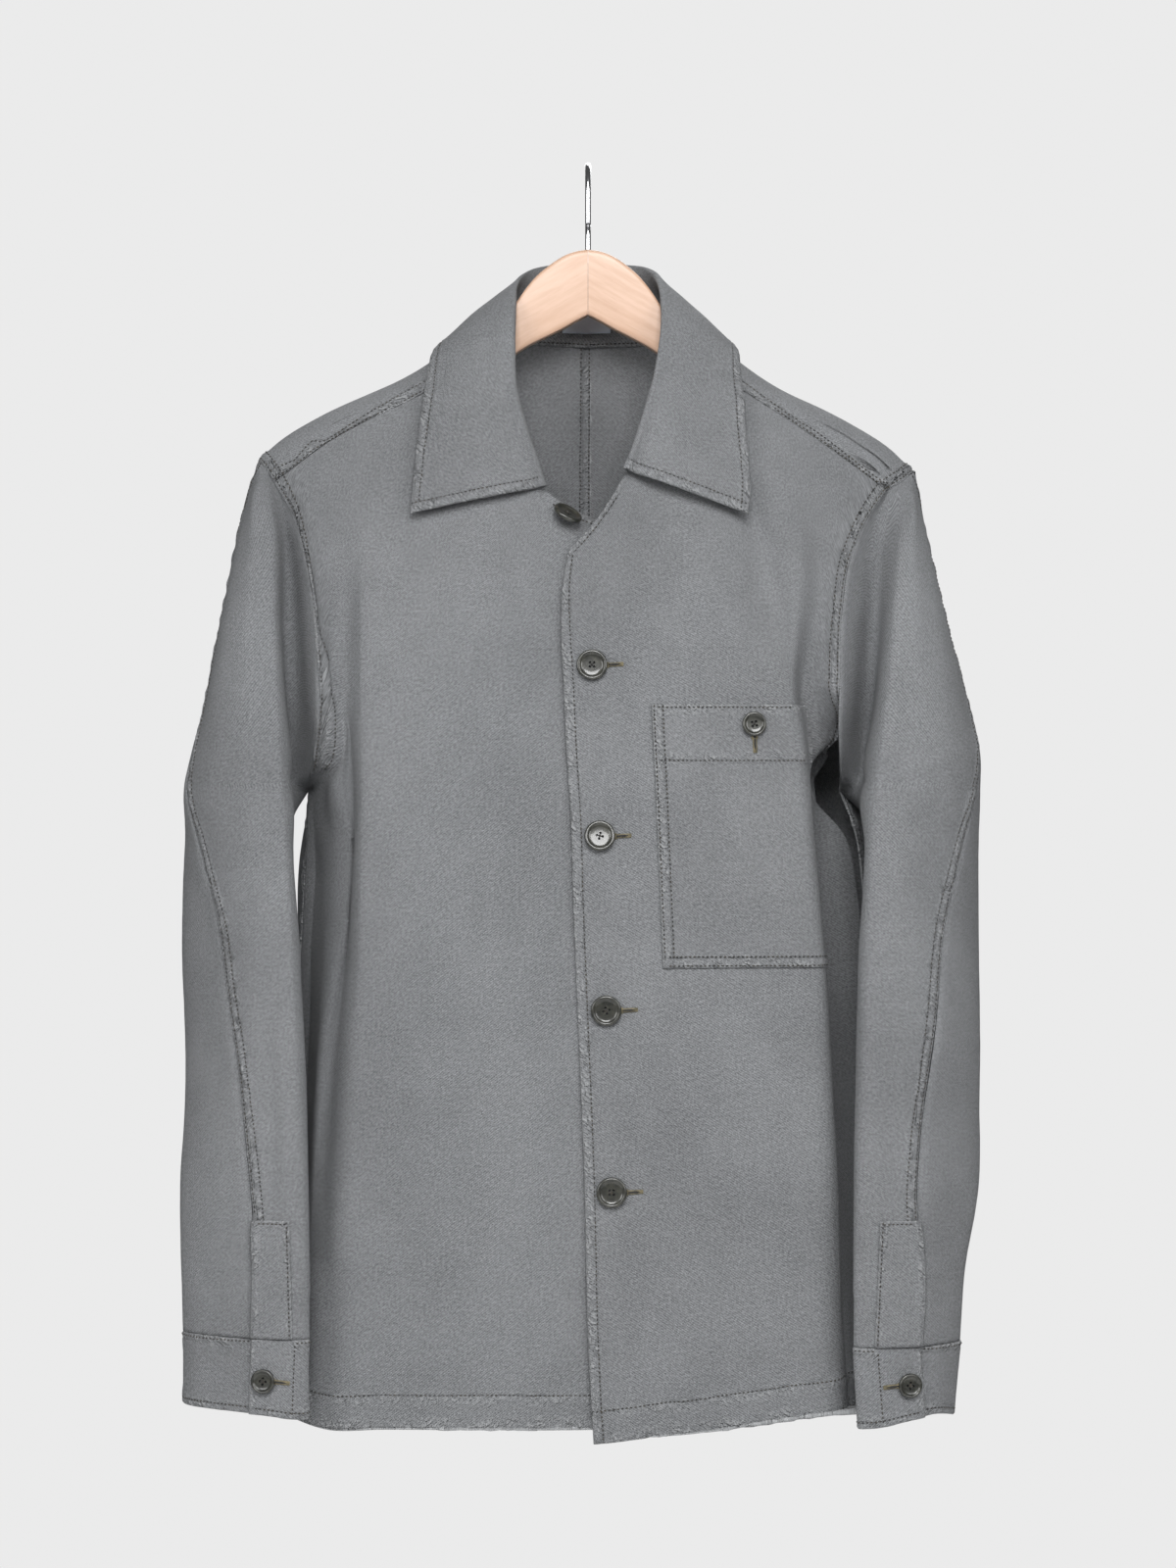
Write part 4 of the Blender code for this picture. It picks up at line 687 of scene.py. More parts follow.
class Sewing:
    """Rows of stitches, gathered into one mesh."""

    def __init__(self):
        self.bm, self.newest, self.count = bmesh.new(), bmesh.new(), 0

    def put_by(self):
        """Moves the newest stitches over to the others."""
        mesh = bpy.data.meshes.new("newest")
        self.newest.to_mesh(mesh)
        self.newest.clear()
        self.bm.from_mesh(mesh)
        bpy.data.meshes.remove(mesh)

    def stitch(self, start, end, face, width=THREAD, height=BEAD):
        """One stitch: a small bead from one needle hole to the next."""
        way = end - start
        middle = (start + end) / 2 + face * height * RAISED
        side = face.cross(way).normalized()
        turn = Matrix((way.normalized(), side, way.normalized().cross(side))).transposed().to_4x4()
        size = Matrix.Diagonal((way.length / 2, width / 2, height / 2, 1))
        place = Matrix.Translation(middle) @ turn @ size
        bead = Matrix.Scale(MM, 4) @ place @ Matrix.Scale(1 / MM, 4)
        bmesh.ops.create_icosphere(self.newest, subdivisions=1, radius=MM, matrix=bead)
        self.count += 1
        if self.count % BATCH == 0:
            self.put_by()

    def row(self, line):
        """A row of stitches along (point, face) pairs."""
        knots = [0.0]
        for (start, _), (end, _) in zip(line, line[1:]):
            knots.append(knots[-1] + (end - start).length)
        count = int(knots[-1] / PITCH)
        places = np.arange(count * 2 + 1) * PITCH / 2
        spots = np.array([tuple(point) for point, _ in line])
        ways = np.array([tuple(face) for _, face in line])
        at = [np.interp(places, knots, values) for values in (*spots.T, *ways.T)]
        found = [(Vector(values[:3]), Vector(values[3:]).normalized()) for values in zip(*at)]
        for index in range(1, len(found) - 1, 2):
            point, face = found[index]
            half = (found[index + 1][0] - found[index - 1][0]) / 2 * SHOWN
            if half.length > SHORTEST:
                self.stitch(point - half, point + half, face)

    def bar(self, line, width):
        """A bar tack: close stitches across a short line."""
        start, end = line[0], line[-1]
        way = end[0] - start[0]
        side = start[1].cross(way).normalized() * width / 2
        count = max(round(way.length / BAR_PITCH), 2)
        for index in range(count + 1):
            point = start[0] + way * index / count
            self.stitch(point - side, point + side, start[1], BAR_THREAD, BAR_BEAD)

    def piece(self, name, material):
        self.put_by()
        for face in self.bm.faces:
            face.smooth = True
        return joined(name, self.bm, material)


# Shader maths.


class Value:
    """A shader socket that Python's operators work on: each adds a Math node."""

    def __init__(self, finish, socket):
        self.finish, self.socket = finish, socket

    def maths(self, operation, *values):
        inputs = dict(enumerate(values))
        return self.finish.node("ShaderNodeMath", {"operation": operation}, inputs)

    def __add__(self, other):
        return self.maths("ADD", self, other)

    def __sub__(self, other):
        return self.maths("SUBTRACT", self, other)

    def __mul__(self, other):
        return self.maths("MULTIPLY", self, other)

    __radd__ = __add__
    __rmul__ = __mul__

    def wave(self, pitch):
        """A wave from 0 to 1 that repeats over a length."""
        return 0.5 + 0.5 * self.maths("SINE", self * (math.tau / pitch))

    def between(self, low, high):
        """Rises from 0 to 1 as the value goes from low to high."""
        inputs = {"Value": self, "From Min": low, "From Max": high}
        return self.finish.node("ShaderNodeMapRange", {"interpolation_type": "SMOOTHSTEP"}, inputs)


class Finish:
    """A material, with the sockets that are the same all over given by name."""

    def __init__(self, name, **fixed):
        self.material = bpy.data.materials.new(name)
        self.material.use_nodes = True
        self.tree = self.material.node_tree
        self.shader = self.tree.nodes["Principled BSDF"]
        for socket, value in fixed.items():
            self.set(socket.replace("_", " "), value)

    def set(self, socket, value):
        self.join(self.shader.inputs[socket], value)

    def join(self, socket, value):
        if isinstance(value, Value):
            self.tree.links.new(value.socket, socket)
        elif isinstance(value, tuple) and len(value) == 3 and socket.type == "RGBA":
            socket.default_value = (*value, 1)
        else:
            socket.default_value = value

    def node(self, kind, settings=None, inputs=None, output=0):
        """Adds a node with its settings and its sockets' values, and returns one of its outputs."""
        node = self.tree.nodes.new(kind)
        for name, value in (settings or {}).items():
            setattr(node, name, value)
        for name, value in (inputs or {}).items():
            self.join(node.inputs[name], value)
        return Value(self, node.outputs[output])

    def place(self):
        """Where the point is on the piece, in metres."""
        return self.node("ShaderNodeTexCoord", output=3)

    def split(self, vector):
        """The x, y and z of a vector."""
        first = self.node("ShaderNodeSeparateXYZ", None, {0: vector})
        return [Value(self, part) for part in first.socket.node.outputs]

    def worked(self, name):
        """A value that the sewing left on the cloth."""
        return self.node("ShaderNodeAttribute", {"attribute_name": name}, output=2)

    def mix(self, share, first, second):
        """Two colours mixed by a value. The colour sockets of a Mix node are its sixth and seventh."""
        return self.node("ShaderNodeMix", {"data_type": "RGBA"}, {0: share, 6: first, 7: second}, 2)

    def noise(self, place, scale, detail, roughness=0.5):
        inputs = {"Vector": place, "Scale": scale, "Detail": detail, "Roughness": roughness}
        return self.node("ShaderNodeTexNoise", None, inputs)

    def bump(self, height, distance, strength, under=None):
        inputs = {"Height": height, "Distance": distance, "Strength": strength}
        if under is not None:
            inputs["Normal"] = under
        return self.node("ShaderNodeBump", None, inputs)


# Finishes.

TWILL_PITCH, PUCKER_PITCH = 0.0022, 0.0052  # metres between the twill's ribs, and between a seam's puckers
ARM_SLOPE = 29  # degrees that the hanger's arms slope


def twill(name, light, dark, worn):
    """Washed cotton twill: diagonal ribs, uneven dye, puckered and paler along the sewn edges, and darker
    along its stitch rows with painted shade of the needle holes.
    """
    finish = Finish(name, Roughness=0.9, Sheen_Weight=0.08, Sheen_Roughness=0.5, Specular_IOR_Level=0.3)
    cloth, place = finish.node("ShaderNodeUVMap", {"uv_map": "cloth"}), finish.place()
    across, up, _ = finish.split(cloth)
    slub = finish.noise(cloth, 300.0, 3.0, 0.6)
    ribs = (across + up * 1.3 + slub * 0.0009).wave(TWILL_PITCH)
    grain = finish.noise(cloth, 850.0, 2.0, 0.8).between(0.38, 0.62)
    mottle = finish.noise(place, 11.0, 4.0, 0.55).between(0.3, 0.7)
    fade = finish.noise(place, 90.0, 3.0, 0.6).between(0.3, 0.72)
    edge, shaded = finish.worked("wear"), finish.worked("stitch_shade")
    patch = finish.noise(cloth, 95.0, 3.0, 0.6).between(0.38, 0.66)
    pucker = (across + up + patch * 0.007).wave(PUCKER_PITCH) * patch
    ridge = pucker * 0.5 + finish.noise(cloth, 420.0, 3.0, 0.65) * 0.8
    nap = finish.noise(cloth, 560.0, 4.0, 0.85).between(0.4, 0.6)
    base = finish.mix(mottle * 0.13 + fade * 0.06 + ribs * 0.26 + grain * 0.2 + nap * 0.35, dark, light)
    rub = edge.between(0.08, 0.7) * ridge.between(0.35, 0.85) * 0.55
    line = edge.between(0.82, 0.98) * (fade * 0.35 + 0.3)
    base = finish.mix(line, finish.mix(rub, base, worn), worn)
    # Painted shade: darker along each stitch row, for the shadow of its needle holes.
    finish.set("Base Color", finish.mix(shaded * 0.3, base, dark))
    finish.set("Roughness", fade * 0.06 + 0.86)
    weave = finish.bump(ribs * 0.45 + grain * 0.3 + nap * 0.25, 0.0005, 0.9)
    finish.set("Normal", finish.bump(pucker * edge.between(0.05, 0.6), 0.0012, 1.0, weave))
    return finish.material


def thread(name, color, fleck):
    finish = Finish(name, Roughness=0.75, Sheen_Weight=0.2)
    place = finish.place()
    finish.set("Base Color", finish.mix(finish.noise(place, 260.0, 2.0).between(0.35, 0.65), color, fleck))
    twist = finish.noise(place, 2600.0, 2.0)
    finish.set("Normal", finish.bump(twist, 0.0001, 0.6))
    return finish.material


def horn(name, dark, light):
    """A dull olive button with a faint marbling."""
    finish = Finish(name, Roughness=0.34, Coat_Weight=0.8, Coat_Roughness=0.1)
    place = finish.place()
    marble = finish.noise(place, 160.0, 4.0, 0.7).between(0.35, 0.7)
    finish.set("Base Color", finish.mix(marble, dark, light))
    finish.set("Roughness", finish.noise(place, 900.0, 3.0) * 0.15 + 0.27)
    finish.set("Normal", finish.bump(finish.noise(place, 1400.0, 3.0), 0.00006, 0.5))
    return finish.material


def beech(name, side):
    """Pale varnished beech with its grain along the arm."""
    finish = Finish(name, Roughness=0.38, Coat_Weight=0.3, Coat_Roughness=0.22, Specular_IOR_Level=0.45)
    place = finish.place()
    turn = (0.0, math.radians(ARM_SLOPE * side), 0.0)

    def along(*size):
        """Places stretched along the arm."""
        inputs = {"Vector": place, "Rotation": turn, "Scale": size}
        return finish.node("ShaderNodeMapping", {"vector_type": "TEXTURE"}, inputs)

    grain = finish.noise(along(0.14, 0.016, 0.016), 2.6, 6.0, 0.65)
    pores = finish.noise(along(0.025, 0.0014, 0.0014), 1.0, 3.0, 0.6).between(0.56, 0.74)
    broad = finish.noise(place, 18.0, 2.0)
    base = finish.mix(grain.between(0.3, 0.72), (0.63, 0.425, 0.31), (0.54, 0.34, 0.23))
    base = finish.mix(pores * 0.35, base, (0.46, 0.27, 0.16))
    finish.set("Base Color", finish.mix(broad.between(0.45, 0.75) * 0.35, base, (0.71, 0.51, 0.39)))
    finish.set("Roughness", grain * 0.12 + 0.32)
    finish.set("Normal", finish.bump(grain - pores * 0.5, 0.0002, 0.35))
    return finish.material


def wire(name):
    finish = Finish(name, Metallic=1.0, Roughness=0.16)
    scuff = finish.noise(finish.place(), 600.0, 3.0, 0.6)
    finish.set("Base Color", finish.mix(scuff.between(0.4, 0.7), (0.80, 0.81, 0.83), (0.62, 0.63, 0.65)))
    finish.set("Roughness", scuff * 0.2 + 0.08)
    return finish.material


def tape(name):
    """Bare woven label tape."""
    finish = Finish(name, Roughness=0.7, Sheen_Weight=0.15)
    across, _, up = finish.split(finish.place())
    ribs = across.wave(0.0005) * 0.5 + up.wave(0.0004) * 0.5
    finish.set("Base Color", finish.mix(ribs, (0.66, 0.75, 0.88), (0.76, 0.84, 0.95)))
    finish.set("Normal", finish.bump(ribs, 0.00008, 0.6))
    return finish.material


# The body and sleeves.

# How a felled seam, a turned edge and a hem rise above the cloth: distance from the edge, rise (mm).
FELL = ((0, -0.9), (0.8, 0.7), (1.8, 0.1), (2.8, 0.9), (4.6, 1.3), (6.4, 1.0), (7.4, -0.1), (8.4, 0.6),
    (9.8, 0))
EDGE = ((0, -0.5), (0.9, 0.7), (3.5, 0.9), (5.6, 0.8), (6.6, -0.1), (7.6, 0.6), (10, 0.15), (14, 0))
HEM = ((0, -0.4), (1.0, 0.4), (9, 0.5), (18, 0.9), (20.5, 0.8), (21.6, -0.1), (22.7, 0.7), (24.2, 0))
ARM_ROWS = 6  # the armhole rows that lie far apart down the cloth


def close_rows(stations):
    """The panel's rows: closest over the shoulder and at the top of the armhole."""
    wrap = tuple(value for value in stations if value > ARMHOLE_ROWS[0])
    rows = finer(wrap + ARMHOLE_ROWS[:1], 0.5)[:-1] if wrap else []
    rest = tuple(value for value in stations if value <= ARMHOLE_ROWS[0])
    return rows + finer(rest[:ARM_ROWS], 1.3) + finer(rest[ARM_ROWS - 1 :], DOWN_STEP)[1:]


def bends(profile):
    """The distances from the edge at which the profile bends."""
    return [row[0] for row in profile[1:]]


def column_of(steps, line):
    """The panel's column along its line of this number."""
    return sum(steps[:line]) * ALONG_STEPS


def front_cloth(side):
    lines = [hanging_line(side, rows) for rows in FRONT[side].values()]
    lines.append(armhole_line(side, "front", SIDE_SEAM[side]))
    grid = weave(lines, close_rows(BODY_ROWS), FRONT_STEPS[side])
    set_on_seam(side, grid[0], column_of(FRONT_STEPS[side], NECK_POINT["front"]))
    return grid


def back_cloth(side, front):
    lines = [wrapped_line(side, BACK_WRAP[name], rows) for name, rows in BACK_HANG.items()]
    hole = armhole_line(side, "back", SIDE_SEAM[side])
    wrap = shoulder_end(side)
    lines.append(lambda value: wrap(value) if value <= -TOP else hole(value))
    grid = weave(lines, close_rows(WRAP_ROWS + BODY_ROWS), BACK_STEPS[side])
    shared = front[0][column_of(FRONT_STEPS[side], NECK_POINT["front"]) :]
    grid[0][column_of(BACK_STEPS[side], NECK_POINT["back"]) :] = shared
    return grid


def sleeve_cloth(side):
    below = SLEEVE[side]["underarm"]
    lines = [armhole_line(side, "front", below)]
    lines += [hanging_line(side, rows) for name, rows in SLEEVE[side].items() if name != "underarm"]
    lines.append(armhole_line(side, "back", below))
    grid = weave(lines, close_rows(SLEEVE_ROWS + (CUFF_TOP[side],)), SLEEVE_STEPS)
    head = shoulder_end(side)
    marks = []
    for start, end, steps in zip(HEAD_MARKS, HEAD_MARKS[1:], SLEEVE_STEPS):
        count = steps * ALONG_STEPS
        marks += [start + (end - start) * step / count for step in range(count)]
    grid[0] = [head(-WRAP[0] + (WRAP[0] - TOP) * mark) for mark in marks + [1.0]]
    return grid


# Soft folds laid over the panels: rows of x, height, rise, width (mm). A trough has a negative rise.
FOLDS = {
    "front_right": (
        ((-148, -225, 0, 5), (-150, -290, 1.8, 5), (-149, -412, 2.2, 5), (-151, -530, 2.0, 5),
            (-156, -610, 0.6, 7), (-166, -700, 0, 8)),
        ((-160, -235, 0, 11), (-166, -300, -13, 12), (-168, -412, -18, 12), (-171, -530, -18, 13),
            (-178, -620, -11, 13), (-186, -720, -6, 13)),
        ((-171, -320, 0, 3), (-172, -380, 1.2, 3), (-169, -460, 1.2, 3), (-172, -560, 0, 3)),
        ((-184, -420, 0, 9), (-186, -470, -5, 9), (-190, -560, -6, 9), (-195, -700, -5, 9),
            (-197, -800, -3, 9)),
        ((-82, -600, 0, 12), (-84, -680, -1.4, 13), (-86, -760, 0, 14)),
        ((-60, -560, 0, 12), (-60, -640, 1.0, 13), (-62, -760, 0, 14)),
        ((-178, -543, 0.5, 2), (-120, -546, 0.4, 2), (-60, -545, 0, 2)),
        ((-168, -461, 0.5, 2), (-140, -463, 0, 2)),
        ((-60, -230, 0, 20), (-62, -300, -1.2, 22), (-60, -420, 0, 24)),
    ),
    "front_left": (
        ((98, -178, 0, 10), (113, -235, -6, 10), (124, -292, -6.5, 11), (140, -350, -3, 11),
            (150, -380, 0, 10)),
        ((84, -215, 0, 14), (104, -300, 1.5, 13), (118, -370, 0, 12)),
        ((128, -190, 0, 10), (139, -240, 1.8, 9), (152, -320, 0.5, 8)),
        ((41, -560, 0, 3), (42, -640, 0.5, 3), (43, -740, 0, 4)),
        ((54, -560, 0, 3), (55, -640, 0.4, 3), (56, -720, 0, 4)),
        ((110, -590, 0, 16), (112, -690, -1.6, 18), (118, -800, -0.5, 18)),
        ((70, -640, 0, 16), (72, -720, 1.0, 16), (74, -800, 0, 16)),
        ((158, -345, 0, 10), (163, -375, -18, 11), (169, -440, -24, 12), (177, -530, -24, 12),
            (180, -640, -18, 12), (179, -760, -15, 12), (180, -850, -9, 12)),
        ((137.5, -350, 0, 3), (140, -412, 1.2, 3), (153, -530, 1.2, 3), (160, -600, 0.5, 4),
            (171, -680, 0, 4)),
        ((121, -425, 0, 4), (127, -445, -1.3, 4), (133, -468, -0.6, 3), (140, -476, 0, 3)),
    ),
    "back_right": (
        ((-60, -200, 0, 26), (-64, -330, -3, 28), (-70, -520, 0, 34)),
        ((-120, -300, 0, 22), (-118, -420, 3, 24), (-112, -640, 0, 30)),
        ((-30, -480, 0, 20), (-34, -620, -2.2, 24), (-40, -780, -1, 26)),
    ),
    "back_left": (
        ((58, -200, 0, 26), (66, -340, -3, 28), (72, -500, 0, 34)),
        ((124, -280, 0, 22), (116, -430, 3, 24), (110, -660, 0, 30)),
        ((36, -520, 0, 22), (40, -640, 2.2, 24), (44, -800, 1, 26)),
    ),
    "sleeve_top_right": (
        ((-213, -215, 0, 3), (-209.5, -245, 1.4, 3), (-207.5, -300, 1.7, 3), (-203, -357, 1.7, 3),
            (-200, -412, 1.5, 3), (-193, -520, 1.3, 3), (-189, -600, 1.0, 3), (-183, -740, 0.6, 3)),
        ((-221, -235, 0, 3.5), (-219.5, -300, -1.5, 3.5), (-213.5, -357, -1.5, 3.5),
            (-208, -412, -1.2, 3.5), (-200, -520, -1.0, 3.5), (-196, -620, -0.6, 4), (-193, -700, 0, 4)),
        ((-199, -235, 0, 6), (-198, -300, -2.4, 6), (-195, -357, -2.4, 6), (-193, -400, 0, 6)),
        ((-264, -478, 0.8, 3), (-232, -474, 0.5, 3), (-205, -471, 0, 3)),
        ((-214, -430, 0, 7), (-226, -452, 1.4, 7), (-244, -468, 0, 7)),
        ((-208, -540, 0, 8), (-206, -630, -4, 9), (-205, -730, 0, 8)),
    ),
    "sleeve_top_left": (
        ((211, -222, 0, 3), (208, -249, 1.4, 3), (203, -300, 1.7, 3), (196.5, -357, 1.6, 3),
            (189, -412, 1.4, 3), (182, -520, 1.2, 3), (179, -600, 1.0, 3), (174, -740, 0.6, 3)),
        ((214, -240, 0, 3.5), (210.5, -300, -1.4, 3.5), (204, -357, -1.4, 3.5), (198, -412, -1.1, 3.5),
            (191, -520, -1.0, 3.5), (190, -620, -0.6, 4), (188, -700, 0, 4)),
        ((191, -240, 0, 6), (189, -300, -2.2, 6), (185, -357, -2.2, 6), (182, -400, 0, 6)),
        ((193, -405, 0, 5), (225, -396, 1.6, 5), (254, -384, 0.6, 5)),
        ((196, -470, 0, 9), (212, -440, -1.6, 9), (240, -412, 0, 9)),
        ((196, -540, 0, 8), (197, -640, -4, 9), (200, -730, 0, 8)),
    ),
    "sleeve_under_right": (
        ((-262, -460, 0, 6), (-246, -470, 1.4, 6), (-230, -490, 0, 6)),
        ((-258, -700, 0, 8), (-246, -740, -1.6, 8), (-240, -770, 0, 8)),
    ),
    "sleeve_under_left": (
        ((258, -440, 0, 6), (244, -452, 1.4, 6), (226, -480, 0, 6)),
        ((250, -640, 0, 8), (240, -700, -1.6, 9), (232, -760, 0, 8)),
    ),
}


DIES_OUT, WRAPS = 9.0, 0.01  # mm beside a seam where a fold dies out; the left front's wrap round it
CRUMPLES = ((70.0, 1.5, 2.2, 0), (24.0, 0.45, 1.6, 5), (9.0, 0.10, 1.0, 9))  # size, height, stretch, seed


def lay_folds(name, panel):
    for rows in FOLDS[name]:
        panel.fold(rows, WRAPS if name == "front_left" else DIES_OUT)
    first = sum(map(ord, name)) % 17
    for size, height, stretch, seed in CRUMPLES:
        panel.crumple(size, height, stretch, first + seed)
    panel.face()


def cut_panels(side, name):
    """The panels of one side, with loops where their seams will rise."""
    front = front_cloth(side)
    back = back_cloth(side, front)
    sleeve = sleeve_cloth(side)
    half = SEAM / 2
    split = column_of(SLEEVE_STEPS, SEAM_LINE)
    widths = {"left": half, "right": half, "top": CAP_GAP, "bottom": half}
    centre = half if side == RIGHT else -UNDERLAP
    front = Cloth(trim(front, right=half, top=half), side)
    back = Cloth(trim(back, left=centre, right=half, top=half), -side)
    top = Cloth(trim([row[: split + 1] for row in sleeve], **widths), side)
    under = Cloth(trim([row[split:] for row in sleeve], **widths), side)
    front.loops("left", bends(EDGE))
    front.loops("right", bends(FELL))
    back.loops("left right top", bends(FELL))
    top.loops("right", bends(FELL))
    front.loops("bottom", bends(HEM))
    back.loops("bottom", bends(HEM))
    panels = {"front_": front, "back_": back, "sleeve_top_": top, "sleeve_under_": under}
    panels = {part + name: panel for part, panel in panels.items()}
    for key, panel in panels.items():
        lay_folds(key, panel)
    return panels


UNDERARM_AT = {LEFT: 216, RIGHT: 212}  # length of the front armhole
NECK_AT, COLLAR_AT = 66, 60  # where the back's shoulder seam starts, and where the front's neck edge goes in
PLACKET_LONG = 80  # how far above the cuff the sleeve's seam ends
FELL_ROWS = (1.8, 7.4)  # stitch rows of a felled seam
EDGE_ROW, HEM_ROW = 6.6, 21.6
INSIDE = 0.2  # how far past the cloth the same stitches show inside the centre back
GATHERS = 1.2  # how much more a hem puckers than a seam


def sew_panels(side, name, panels, sewing):
    """Raises the seams and hems, and stitches them."""
    front, back, top = (panels[part + name] for part in ("front_", "back_", "sleeve_top_"))
    hole = UNDERARM_AT[side]
    placket = top.edges["top"][:, -1].max() - PLACKET_LONG
    front.sewn("left", EDGE, 1)
    front.sewn("right", FELL, 2, stop=hole)
    front.sewn("bottom", HEM, 3, GATHERS)
    front.sewn("top", EDGE, 9, stop=COLLAR_AT)
    back.sewn("top", FELL, 4, start=NECK_AT)
    back.sewn("right", FELL, 5)
    back.sewn("bottom", HEM, 6, GATHERS)
    if side == LEFT:
        back.sewn("left", FELL, 7)
    top.sewn("right", FELL, 8, stop=placket)
    for panel in panels.values():
        panel.face()
    rows = [front.row_at("left", EDGE_ROW, start=EDGE_ROW)]
    rows.append(front.row_at("top", EDGE_ROW, start=EDGE_ROW, stop=COLLAR_AT))
    rows += [front.row_at("bottom", HEM_ROW), back.row_at("bottom", HEM_ROW)]
    for distance in FELL_ROWS:
        rows.append(front.row_at("right", distance, stop=hole))
        rows.append(back.row_at("right", distance))
        rows.append(back.row_at("top", distance, start=NECK_AT))
        rows.append(top.row_at("right", distance, stop=placket))
        if side == LEFT:
            centre = back.row_at("left", distance)
            rows += [centre, [(point - face * (CLOTH + INSIDE), -face) for point, face in centre]]
    for line in rows:
        sewing.row(line)


# Collar, facing, label, pocket, plackets and cuffs.


def collar_cloth(line):
    """The collar's sections from end to end, wide at the leaf, with its bow and its outer edge."""
    stations = []
    for side in (LEFT, RIGHT):
        half = [[place(side, *point) for point in row] for row in COLLAR[side]]
        stations += half if side == LEFT else half[::-1]
    knots = list(range(len(stations)))
    curves = [spline(knots, [row[index] for row in stations]) for index in range(3)]
    grid = []
    for step in range(COLLAR_ROWS + 1):
        seam, roll, edge = (curve(knots[-1] * step / COLLAR_ROWS) for curve in curves)
        marks = collar_section(nearest_on(line, seam), roll, edge)
        grid.append(across(marks, COLLAR_STEPS))
    return grid


def neck_seam(side):
    """One half of the neck seam, from the collar's end to the centre back."""
    front = front_cloth(side)
    back = back_cloth(side, front)
    start, end = (column_of(FRONT_STEPS[side], line) for line in (COLLAR_END, NECK_POINT["front"]))
    return front[0][start : end + 1] + back[0][: column_of(BACK_STEPS[side], NECK_POINT["back"])][::-1]


def build_collar(cloth, sewing):
    collar = Cloth(collar_cloth(neck_seam(LEFT) + neck_seam(RIGHT)[::-1][1:]), COLLAR_TURN)
    collar.loops("top bottom right", bends(EDGE))
    collar.crumple(46.0, 0.9, 1.0, 3)
    collar.crumple(17.0, 0.35, 1.0, 8)
    collar.sewn("right", EDGE, 11)
    collar.sewn("top", EDGE, 12, start=COLLAR_STAND)
    collar.sewn("bottom", EDGE, 13, start=COLLAR_STAND)
    collar.face()
    sewing.row(collar.row_at("right", EDGE_ROW, start=EDGE_ROW))
    for edge in ("top", "bottom"):
        sewing.row(collar.row_at(edge, EDGE_ROW, start=COLLAR_STAND))
    return collar.piece("collar_twill", cloth, COLLAR_THICK)


def panel_part(panel, rows, columns, lift):
    """A piece laid on part of a panel, a lift above it."""
    points = panel.points[rows[0] : rows[1] + 1, columns[0] : columns[1] + 1]
    faces = panel.faces[rows[0] : rows[1] + 1, columns[0] : columns[1] + 1]
    return Cloth((points + faces * lift).tolist(), panel.turn)


def rows_of(stations, start, stop):
    """The rows of a panel from one station to another."""
    rows = close_rows(stations)
    return tuple(min(range(len(rows)), key=lambda index: abs(rows[index] - value)) for value in (start, stop))


BAND = ((0, -0.4), (1.0, 0.35), (20, 0.5), (34, 0.7), (36, 0.5), (37, 0.15), (38.2, 0.7), (39.6, 0))
POCKET_ROWS, POCKET_ENDS = (1.6, 7.6), (168, 128)  # stitch rows, and how far they run down and along it
BAND_ROWS = ((37, 104), (2.0, 96))
POCKET_TACK, TACK_WIDE = 4.5, 7  # middle and width of the bar tack at its top corner


def build_pocket(cloth, sewing):
    front = Cloth(front_cloth(RIGHT), RIGHT)
    rows = rows_of(BODY_ROWS, POCKET_TOP, POCKET_FOOT)
    columns = [column_of(FRONT_STEPS[RIGHT], line) for line in POCKET_LINES]
    pocket = panel_part(front, rows, columns, LIFT + CLOTH)
    pocket.loops("left right bottom", bends(EDGE))
    pocket.loops("top", bends(BAND))
    lay_folds("front_left", pocket)
    pocket.sewn("top", BAND, 21)
    for seed, edge in enumerate(("left", "right", "bottom"), 22):
        pocket.sewn(edge, EDGE, seed)
    pocket.face()
    for distance in POCKET_ROWS:
        sewing.row(pocket.row_at("left", distance, stop=POCKET_ENDS[0]))
        sewing.row(pocket.row_at("bottom", distance, start=1, stop=POCKET_ENDS[1]))
    for distance, stop in BAND_ROWS:
        sewing.row(pocket.row_at("top", distance, start=1, stop=stop))
    sewing.bar(pocket.row_at("left", POCKET_TACK, start=1, stop=4), TACK_WIDE)
    return pocket, pocket.piece("pocket_twill", cloth)


FACING_RISE = ((0, -0.3), (1.0, 0.35), (2.5, 0.1), (4.0, 0.3), (6, 0))
LABEL_COLUMNS, LABEL_ROWS = 24, 12


def build_facing(cloth, pale, sewing):
    """The facing inside the back neck, over the fell of the centre seam, and the bare label."""
    halves = []
    for side in (LEFT, RIGHT):
        back = Cloth(back_cloth(side, front_cloth(side)), -side)
        rows = rows_of(WRAP_ROWS + BODY_ROWS, WRAP_ROWS[1], WRAP_ROWS[FACING_FOOT])
        half = panel_part(back, rows, (0, column_of(BACK_STEPS[side], 1)), -CLOTH - LIFT - CLOTH).points
        halves.append(half[:, ::-1] if side == LEFT else half[:, 1:])
    facing = Cloth(np.concatenate(halves, axis=1).tolist(), 1)
    facing.loops("bottom", bends(FACING_RISE[:-1]))
    facing.crumple(16.0, 0.3, 1.0, 4)
    facing.sewn("bottom", FACING_RISE, 31)
    facing.face()
    sewing.row(facing.row_at("bottom", FACING_RISE[2][0]))
    piece = facing.piece("neck_facing_twill", cloth)
    width, middle, high, low = LABEL
    surface = facing.surface()
    shares = [part / LABEL_COLUMNS - 0.5 for part in range(LABEL_COLUMNS + 1)]
    spots = [surface.front(middle + width * share, FACING_TOP)[0] for share in shares]
    rows = []
    for part in range(LABEL_ROWS + 1):
        height = high + (low - high) * part / LABEL_ROWS + DATUM
        rows.append([Vector((spot.x, spot.y - LIFT - LABEL_THICK, height)) for spot in spots])
    label = Cloth(rows, 1)
    label.crumple(20.0, 0.15, 1.0, 2)
    label.face()
    return piece, label.piece("label_tape", pale, LABEL_THICK)


